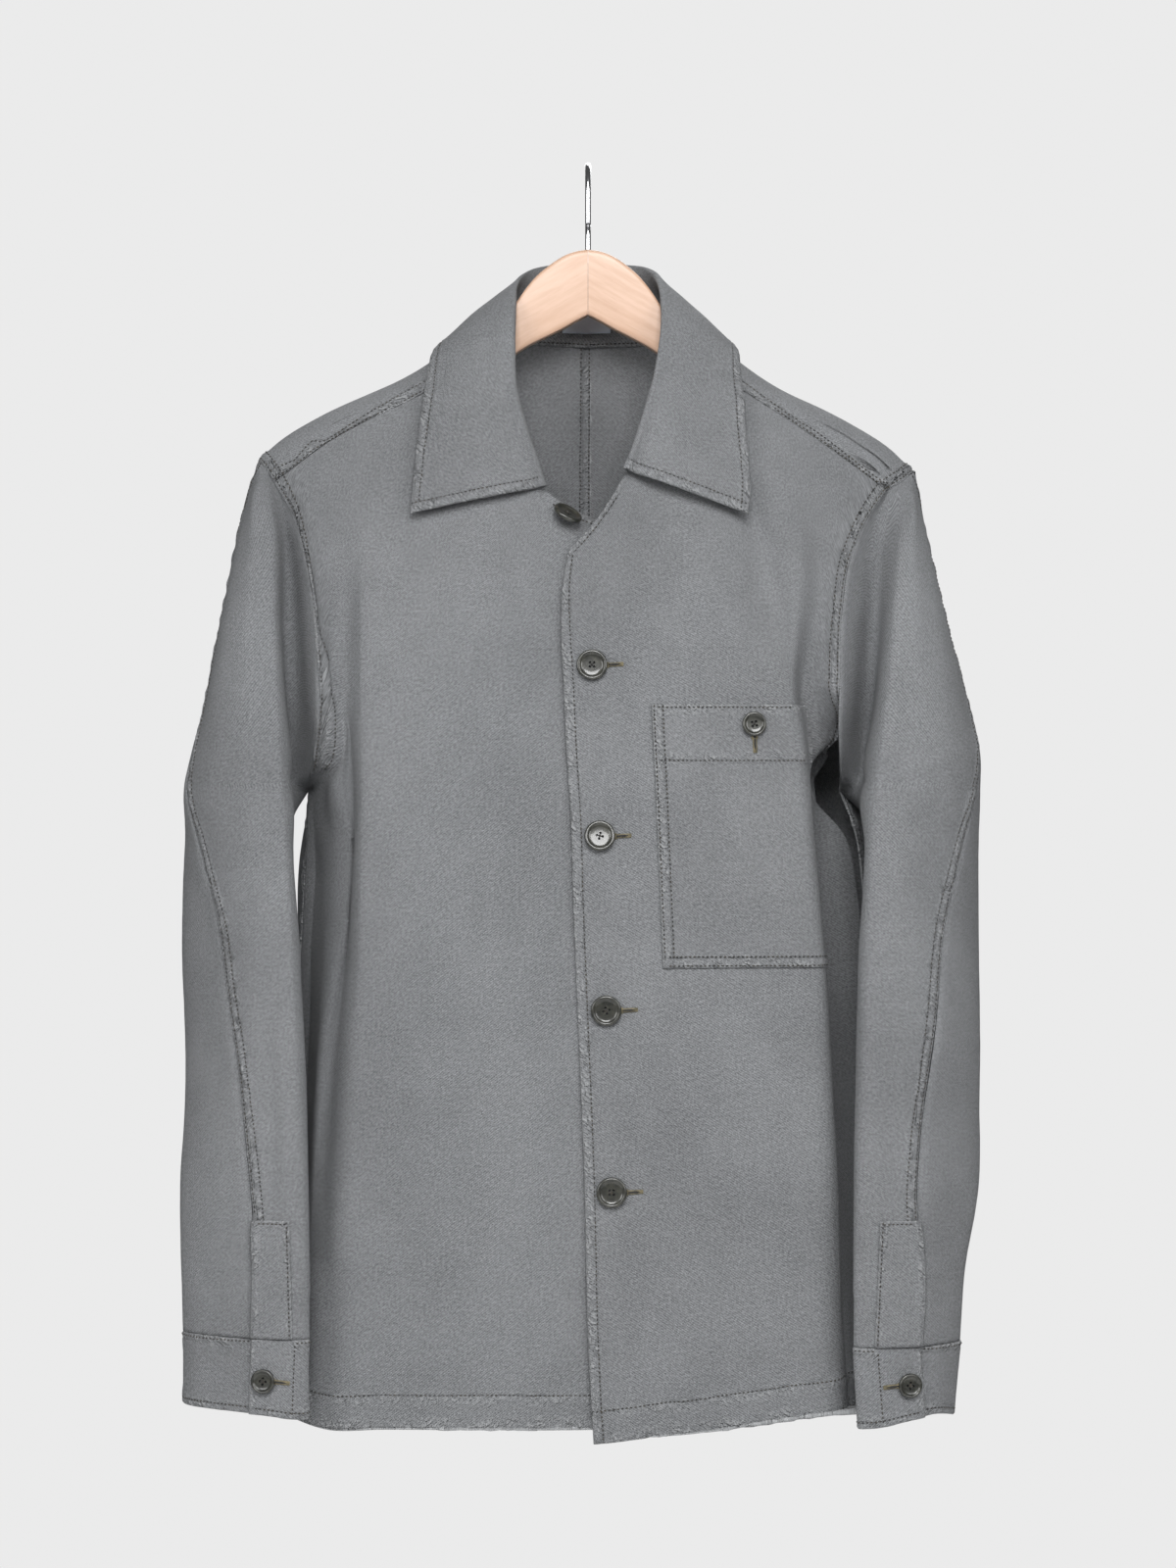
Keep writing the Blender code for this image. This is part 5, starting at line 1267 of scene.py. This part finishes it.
PLACKET_LINE = 3  # the placket runs from the sleeve's line 3 to its back seam
PLACKET_RISE = ((0, -0.4), (0.9, 0.3), (1.8, 0.1), (3.0, 0.25), (5, 0))
SWELL, SWELL_DOWN, SWELL_WIDE = 2.2, 12, 22  # the swelling at its top: height, how far down, and width
ROLL, ROLL_WIDE = 0.8, 9  # how much its edge at the seam stands up, and over what width


def build_placket(side, name, cloth, sewing):
    sleeve = Cloth(sleeve_cloth(side), side)
    rows = rows_of(SLEEVE_ROWS + (CUFF_TOP[side],), PLACKET_TOP, CUFF_TOP[side])
    columns = [column_of(SLEEVE_STEPS, line) for line in (PLACKET_LINE, SEAM_LINE)]
    points = panel_part(sleeve, rows, columns, LIFT + CLOTH).points.tolist()
    strip = Cloth(trim([[Vector(spot) for spot in row] for row in points], right=SEAM, bottom=SEAM), side)
    strip.loops("left right", bends(PLACKET_RISE[:-1]))
    strip.loops("top", (0.9, 2.0, 3.2))
    lay_folds("sleeve_top_" + name, strip)
    from_top, from_seam = strip.edges["top"], strip.edges["right"]
    swell = np.exp(-((from_top - SWELL_DOWN) / SWELL_DOWN) ** 2) * np.clip(1 - from_seam / SWELL_WIDE, 0, 1)
    strip.lift(swell * SWELL + np.clip(1 - from_seam / ROLL_WIDE, 0, 1) * ROLL)
    for seed, edge in enumerate(("left", "right", "top"), 41):
        strip.sewn(edge, PLACKET_RISE, seed)
    strip.face()
    sewing.row(strip.row_at("left", PLACKET_RISE[2][0]))
    sewing.row(strip.row_at("top", 2.0, start=1, stop=24))
    return strip.piece("placket_twill_" + name, cloth)


CUFF_RISE = ((0, -0.4), (1.0, 0.35), (3.0, 0.4), (4.2, 0.1), (5.4, 0.35), (9, 0.2), (14, 0))
CUFF_TUCK = ((5, 2.2), (-3, 2.9), (-15, 3.4))  # how the cuff's end goes on under itself: along it, inward
STRIP = 30  # width of the cuff's end that carries on the line of the placket


def cuff_rows(side):
    """The cuff's rings from top to foot: from its buttoned end round the wrist, tucked under itself."""
    inward = Vector((-0.25 * side, 0.97, 0))
    steps = [step * CUFF_FINER for step in CUFF_STEPS]
    rows = []
    for part in range(CUFF_ROWS + 1):
        ring = []
        for key, foot in CUFF_FOOT[side].items():
            top = place(side, *SLEEVE[side][key][-1][1:], CUFF_TOP[side] - SEAM / 2)
            ring.append(top.lerp(place(side, *foot), part / CUFF_ROWS))
        seam, face = ring[0], ring[1]
        away = (seam - face).normalized()
        ring[0] = seam - inward * 0.6
        ring += [seam + away * beyond + inward * under for beyond, under in CUFF_TUCK]
        rows.append(across(ring, steps))
    return rows


def build_cuff(side, name, cloth, sewing):
    cuff = Cloth(cuff_rows(side), -side)
    cuff.loops("top bottom left", bends(CUFF_RISE[:-2]))
    cuff.crumple(13.0, 0.7, 3.5, 6 + side)
    cuff.crumple(6.0, 0.2, 1.5, 9)
    cuff.sewn("top", CUFF_RISE, 51, start=STRIP)
    cuff.sewn("bottom", CUFF_RISE, 52, PUCKER * 2)
    cuff.sewn("left", ((0, -0.4), (1.0, 0.5), (5.4, 0.4), (14, 0)), 53)
    cuff.face()
    sewing.row(cuff.row_at("bottom", CUFF_RISE[3][0], start=4))
    sewing.row(cuff.row_at("top", 2.0, start=STRIP))
    sewing.row(cuff.row_at("left", STRIP, start=2))
    return cuff, cuff.piece("cuff_twill_" + name, cloth, DOUBLE)


# Buttons and buttonholes. The profile of a button's front: radius and height, as shares.
RIM = ((0, 0), (0.84, 0), (0.95, 0.1), (1, 0.32), (1, 0.62), (0.985, 0.82), (0.94, 0.95), (0.87, 1),
    (0.8, 0.95), (0.75, 0.78), (0.7, 0.66), (0.6, 0.6), (0.4, 0.57), (0, 0.56))
HOLE_OUT, HOLE_RADIUS = 1.9, 0.85
HOLE_ANGLES = (45, 135, 225, 315)
SEWN_AT = 0.58  # the height of the dish, as a share
STRAND, APART = 0.45, 0.2  # width of the thread in a button, and how far its strands lie from the middle
TIP = (0.1, 0.5, -0.05, 0.12)  # how far each main button is tipped up


def turned(angle):
    return Matrix.Rotation(math.radians(angle), 4, "Z")


def button_blank(width):
    """A turned button with a rim, a dish and four holes through it, lying on its back at the origin."""
    bm = bmesh.new()
    verts = [bm.verts.new((radius * width / 2 * MM, 0, height * BUTTON_THICK * MM)) for radius, height in RIM]
    edges = [bm.edges.new(pair) for pair in zip(verts, verts[1:])]
    about = {"cent": (0, 0, 0), "axis": (0, 0, 1), "angle": math.tau}
    bmesh.ops.spin(bm, geom=verts + edges, steps=48, use_merge=True, **about)
    bmesh.ops.remove_doubles(bm, verts=list(bm.verts), dist=1e-6)
    bmesh.ops.recalc_face_normals(bm, faces=list(bm.faces))
    drill = bmesh.new()
    bit = {"radius1": HOLE_RADIUS * MM, "radius2": HOLE_RADIUS * MM, "depth": 0.02}
    for angle in HOLE_ANGLES:
        spot = turned(angle) @ Matrix.Translation((HOLE_OUT * MM, 0, 0))
        bmesh.ops.create_cone(drill, cap_ends=True, segments=16, matrix=spot, **bit)
    pair = [placed(name, as_mesh(name, shape)) for name, shape in (("blank", bm), ("drill", drill))]
    cut = pair[0].modifiers.new("holes", "BOOLEAN")
    cut.object, cut.operation = pair[1], "DIFFERENCE"
    graph = bpy.context.evaluated_depsgraph_get()
    done = bpy.data.meshes.new_from_object(pair[0].evaluated_get(graph))
    for item in pair:
        bpy.data.objects.remove(item)
    return done


def set_button(name, blank, point, way, turn, material, sewing):
    """A button on its place, sewn through its holes with two bars of thread."""
    place_of = Matrix.Translation(point * MM) @ way.to_track_quat("Z", "Y").to_matrix().to_4x4()
    place_of = place_of @ turned(turn)
    mesh = blank.copy()
    mesh.name = name
    mesh.transform(place_of)
    mesh.materials.clear()
    mesh.materials.append(material)
    mesh.shade_smooth()
    mesh.set_sharp_from_angle(angle=math.radians(38))
    piece = placed(name, mesh)
    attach(piece, "root")
    spot = Vector((HOLE_OUT * MM, 0, BUTTON_THICK * SEWN_AT * MM))
    spots = [place_of @ (turned(angle) @ spot) / MM for angle in HOLE_ANGLES]
    for start, end in ((0, 2), (1, 3)):
        for shift in (-APART, APART):
            aside = (spots[end] - spots[start]).cross(way).normalized() * shift
            sewing.stitch(spots[start] + aside, spots[end] + aside, way, STRAND, BEAD)
    return piece


SPOKES, EYE = 18, (0.9, 2.6)  # stitches round the hole's eye, and where they start and end


def buttonhole(surface, start, end, sewing, slit):
    """A worked keyhole from one x, height to another, round at its start, with its slit as near-black beads
    of painted shadow.
    """
    line = [surface.front(*spot) for spot in (start, end)]
    sewing.bar(line, 3.6)
    (eye, face), (foot, _) = line
    way = (foot - eye).normalized()
    slit.stitch(eye, foot - way * 1.0, face, 1.7, 2.6)
    for step in range(SPOKES):
        spoke = Matrix.Rotation(math.tau * step / SPOKES, 3, face) @ way
        sewing.stitch(eye + spoke * EYE[0], eye + spoke * EYE[1], face, 0.7, 1.4)
    slit.stitch(eye - way, eye + way, face, 2.1, 2.2)


def build_buttons(panels, pocket, cuffs, material, sewing, worked, slit):
    over, under = panels["front_left"].surface(), panels["front_right"].surface()
    blank, small = button_blank(BUTTON), button_blank(SMALL_BUTTON)
    pieces = {}

    def sew_on(node, *how):
        pieces[node] = set_button(node + "_horn", *how, material, sewing)

    for index, (x, height) in enumerate(MAIN_BUTTONS):
        point, way = over.front(x, height)
        way = (way + Vector((0, -2, TIP[index]))).normalized()
        sew_on("button_%d" % (index + 1), blank, point + way * BUTTON_LIFT, way, index * MAIN_TURN)
        buttonhole(over, (x + 9.5, height), (x + 20.5, height + 0.6), worked, slit)
    point, _ = under.front(*NECK_BUTTON)
    sew_on("button_neck", blank, point - Vector((0, NECK_SHANK, 0)), Vector(NECK_WAY).normalized(), NECK_TURN)
    x, height = POCKET_BUTTON
    point, way = over.front(x, height)
    sew_on("button_pocket", small, point + way * (LIFT + DOUBLE + BUTTON_LIFT), way, POCKET_TURN)
    buttonhole(pocket.surface(), (x + 0.5, height - 8.5), (x + 1, height - 18.5), worked, slit)
    for side, name in SIDES:
        out, height = CUFF_BUTTON[side]
        surface = cuffs[side].surface()
        point, way = surface.front(side * out, height)
        sew_on("button_cuff_" + name, small, point + way * BUTTON_LIFT, way, CUFF_TURN)
        buttonhole(surface, (side * (out - 6), height), (side * (out - 17), height - 1), worked, slit)
    return pieces


# The hanger.


def ring_body(name, rings, material):
    """A solid pushed from one ring of points to the next."""
    bm = bmesh.new()
    number = bm.verts.layers.int.new("number")
    verts = [bm.verts.new(point * MM) for point in rings[0]]
    for index, vert in enumerate(verts):
        vert[number] = index
    faces = [bm.faces.new(verts)]
    for step, ring in enumerate(rings[1:]):
        made = bmesh.ops.extrude_face_region(bm, geom=faces, use_keep_orig=True)
        if step:
            bmesh.ops.delete(bm, geom=faces, context="FACES_ONLY")
        faces = [item for item in made["geom"] if isinstance(item, bmesh.types.BMFace)]
        for vert in made["geom"]:
            if isinstance(vert, bmesh.types.BMVert):
                vert.co = ring[vert[number]] * MM
    bmesh.ops.recalc_face_normals(bm, faces=list(bm.faces))
    piece = joined(name, bm, material)
    piece.data.shade_smooth()
    piece.data.set_sharp_from_angle(angle=math.radians(50))
    return piece


ARM_RINGS, ARM_CORNER, MITRE = 100, 0.09, 0.1  # the corner is a share of its height; the mitre is half open
ROUND_STEPS, ROUND_DEPTH = 5, 2.6  # steps round a corner, and how much deeper it is than high, as shares


def rounded_section(corner):
    """Depth (-1 to 1) and height (0 to 1) round an arm with rounded corners."""
    deep = corner * ROUND_DEPTH
    ring = []
    for middle_y, middle_z, start in ((-1, 1, 90), (-1, 0, 180), (1, 0, 270), (1, 1, 0)):
        for step in range(ROUND_STEPS + 1):
            angle = math.radians(start + 90 * step / ROUND_STEPS)
            y = middle_y * (1 - deep) + deep * math.cos(angle)
            z = middle_z + (1 - 2 * middle_z) * corner + corner * math.sin(angle)
            ring.append((y, z))
    return ring


def build_arm(side, name, wood):
    knots = [row[0] for row in ARM]
    curve = spline(knots, [Vector(row[1:]) for row in ARM])
    thick = spline(ARM_THICK_AT, [Vector((value, 0, 0)) for value in ARM_THICK])
    section = rounded_section(ARM_CORNER)
    rings = []
    for step in range(ARM_RINGS + 1):
        out = knots[0] + (knots[-1] - knots[0]) * step / ARM_RINGS
        top, bottom, depth = curve(out)
        half, low = thick(out).x / 2, dip(side, out)
        spots = ((depth + half * y, bottom + (top - bottom) * z - low) for y, z in section)
        rings.append([place(side, out, *spot) for spot in spots])
    for point in rings[0]:
        point.x = side * MITRE
    return ring_body("hanger_beech_" + name, rings, wood)


def build_hook(chrome):
    bend = HOOK_RADIUS + HOOK_WIRE / 2
    path = [(0, HOOK_STEM_FOOT + DATUM), (0, -47), (1, -41), (6, -35), (13.5, -29), (18.5, -23.5)]
    for step in range(13):
        angle = math.pi * step / 12
        path.append((bend * math.cos(angle), -HOOK_RADIUS + bend * math.sin(angle)))
    path += [(-bend - 0.2, -26), (-bend + 0.3, -34), (-bend + 1, -42)]
    last = len(path) - 1
    curve = spline(list(range(len(path))), [Vector((0, *point)) for point in path])
    angles = np.linspace(0, math.tau, 20, endpoint=False)
    ring = [Vector((math.cos(angle), math.sin(angle))) * HOOK_WIRE / 2 for angle in angles]
    rings = []
    for step in range(HOOK_RINGS + 1):
        at = last * step / HOOK_RINGS
        spot, ahead, behind = (curve(min(max(at + shift, 0), last)) for shift in (0, 0.05, -0.05))
        way = (ahead - behind).normalized()
        side = Vector((1, 0, 0))
        up = way.cross(side)
        shrink = 1 - HOOK_TIP * (step == HOOK_RINGS)
        rings.append([spot + (side * point.x + up * point.y) * shrink for point in ring])
    return ring_body("hook_wire", rings, chrome)


# The studio.

BACKDROP, AMBIENT = 0.83, 0.08  # the strength of the pale backdrop, and of the light that it gives
AIM = Vector((0, 0, -0.4))  # what the lights point at
CAMERA, LENS, SENSOR = (0, -2.55, -0.4162), 86.54, 36
FLOOR, FLOOR_RADIUS = -1.3, 1.6
LIGHTS = (  # watts, width, place
    ("key", 70, 1.4, (0.1, -2.5, 1.0)),
    ("left", 24, 1.2, (-1.7, -2.1, 0.1)),
    ("right", 22, 1.2, (1.7, -2.1, 0.2)),
    ("rim", 26, 1.4, (0.3, 1.6, 0.9)),
)


def area_light(name, energy, size, spot):
    light = bpy.data.lights.new(name, "AREA")
    light.energy, light.size = energy, size
    lamp = placed(name, light)
    lamp.location = spot
    lamp.rotation_euler = (AIM - lamp.location).to_track_quat("-Z", "Y").to_euler()


def build_studio():
    scene = bpy.context.scene
    camera = placed("camera", bpy.data.cameras.new("camera"))
    camera.location = CAMERA
    camera.rotation_euler = (math.radians(90), 0, 0)
    camera.data.sensor_fit, camera.data.sensor_height = "VERTICAL", SENSOR
    camera.data.lens = LENS
    scene.camera = camera
    scene.view_settings.view_transform = "Standard"
    world = bpy.data.worlds.new("studio")
    world.use_nodes = True
    tree = world.node_tree
    back = tree.nodes["Background"]
    back.inputs["Color"].default_value = (1, 1, 1, 1)
    seen = tree.nodes.new("ShaderNodeLightPath")
    share = tree.nodes.new("ShaderNodeMapRange")
    share.inputs["To Min"].default_value, share.inputs["To Max"].default_value = AMBIENT, BACKDROP
    tree.links.new(seen.outputs["Is Camera Ray"], share.inputs["Value"])
    tree.links.new(share.outputs["Result"], back.inputs["Strength"])
    scene.world = world
    bm = bmesh.new()
    low = Matrix.Translation((0, 0, FLOOR))
    bmesh.ops.create_circle(bm, cap_ends=True, segments=96, radius=FLOOR_RADIUS, matrix=low)
    floor = placed("floor", as_mesh("floor", bm))
    floor.data.materials.append(Finish("floor_pale", Roughness=0.9, Base_Color=(0.80, 0.80, 0.80)).material)
    for light in LIGHTS:
        area_light(*light)


def main():
    cloth = twill("grey_green_twill", (0.325, 0.334, 0.346), (0.068, 0.071, 0.075), (0.46, 0.47, 0.48))
    # Near-black thread: partly the thread's own colour, partly painted shade of the needle holes along each
    # row.
    cotton = thread("dark_thread_with_painted_hole_shade", (0.016, 0.016, 0.016), (0.05, 0.042, 0.03))
    tan = thread("buttonhole_thread", (0.105, 0.092, 0.052), (0.26, 0.22, 0.13))
    # Painted shadow: near-black beads fill the buttonhole slits.
    shadow = thread("slit_shadow", (0.012, 0.012, 0.012), (0.02, 0.02, 0.02))
    olive = horn("olive_horn", (0.018, 0.019, 0.016), (0.05, 0.05, 0.04))
    sewing, worked, slit, sewn_on = Sewing(), Sewing(), Sewing(), Sewing()
    panels, pieces = {}, {}
    for side, name in SIDES:
        cut = cut_panels(side, name)
        sew_panels(side, name, cut, sewing)
        panels.update(cut)
    for name, panel in panels.items():
        pieces[name] = panel.piece(name + "_twill", cloth)
    cuffs = {}
    for side, name in SIDES:
        pieces["placket_" + name] = build_placket(side, name, cloth, sewing)
        cuffs[side], pieces["cuff_" + name] = build_cuff(side, name, cloth, sewing)
        pieces["hanger_arm_" + name] = build_arm(side, name, beech("beech_" + name, side))
    pieces["collar"] = build_collar(cloth, sewing)
    pocket, pieces["pocket"] = build_pocket(cloth, sewing)
    pieces["neck_facing"], pieces["neck_label"] = build_facing(cloth, tape("bare_tape"), sewing)
    pieces["hook"] = build_hook(wire("bright_wire"))
    pieces.update(build_buttons(panels, pocket, cuffs, olive, sewn_on, worked, slit))
    for node, piece in pieces.items():
        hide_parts(node)
    trims = (
        ("seam_stitches", sewing, cotton, "twill"), ("buttonholes", worked, tan, "twill"),
        ("buttonhole_slits", slit, shadow, "twill"), ("button_thread", sewn_on, cotton, "button"),
    )
    for name, work, finish, slot in trims:
        work.piece(name, finish)
    build_studio()


main()
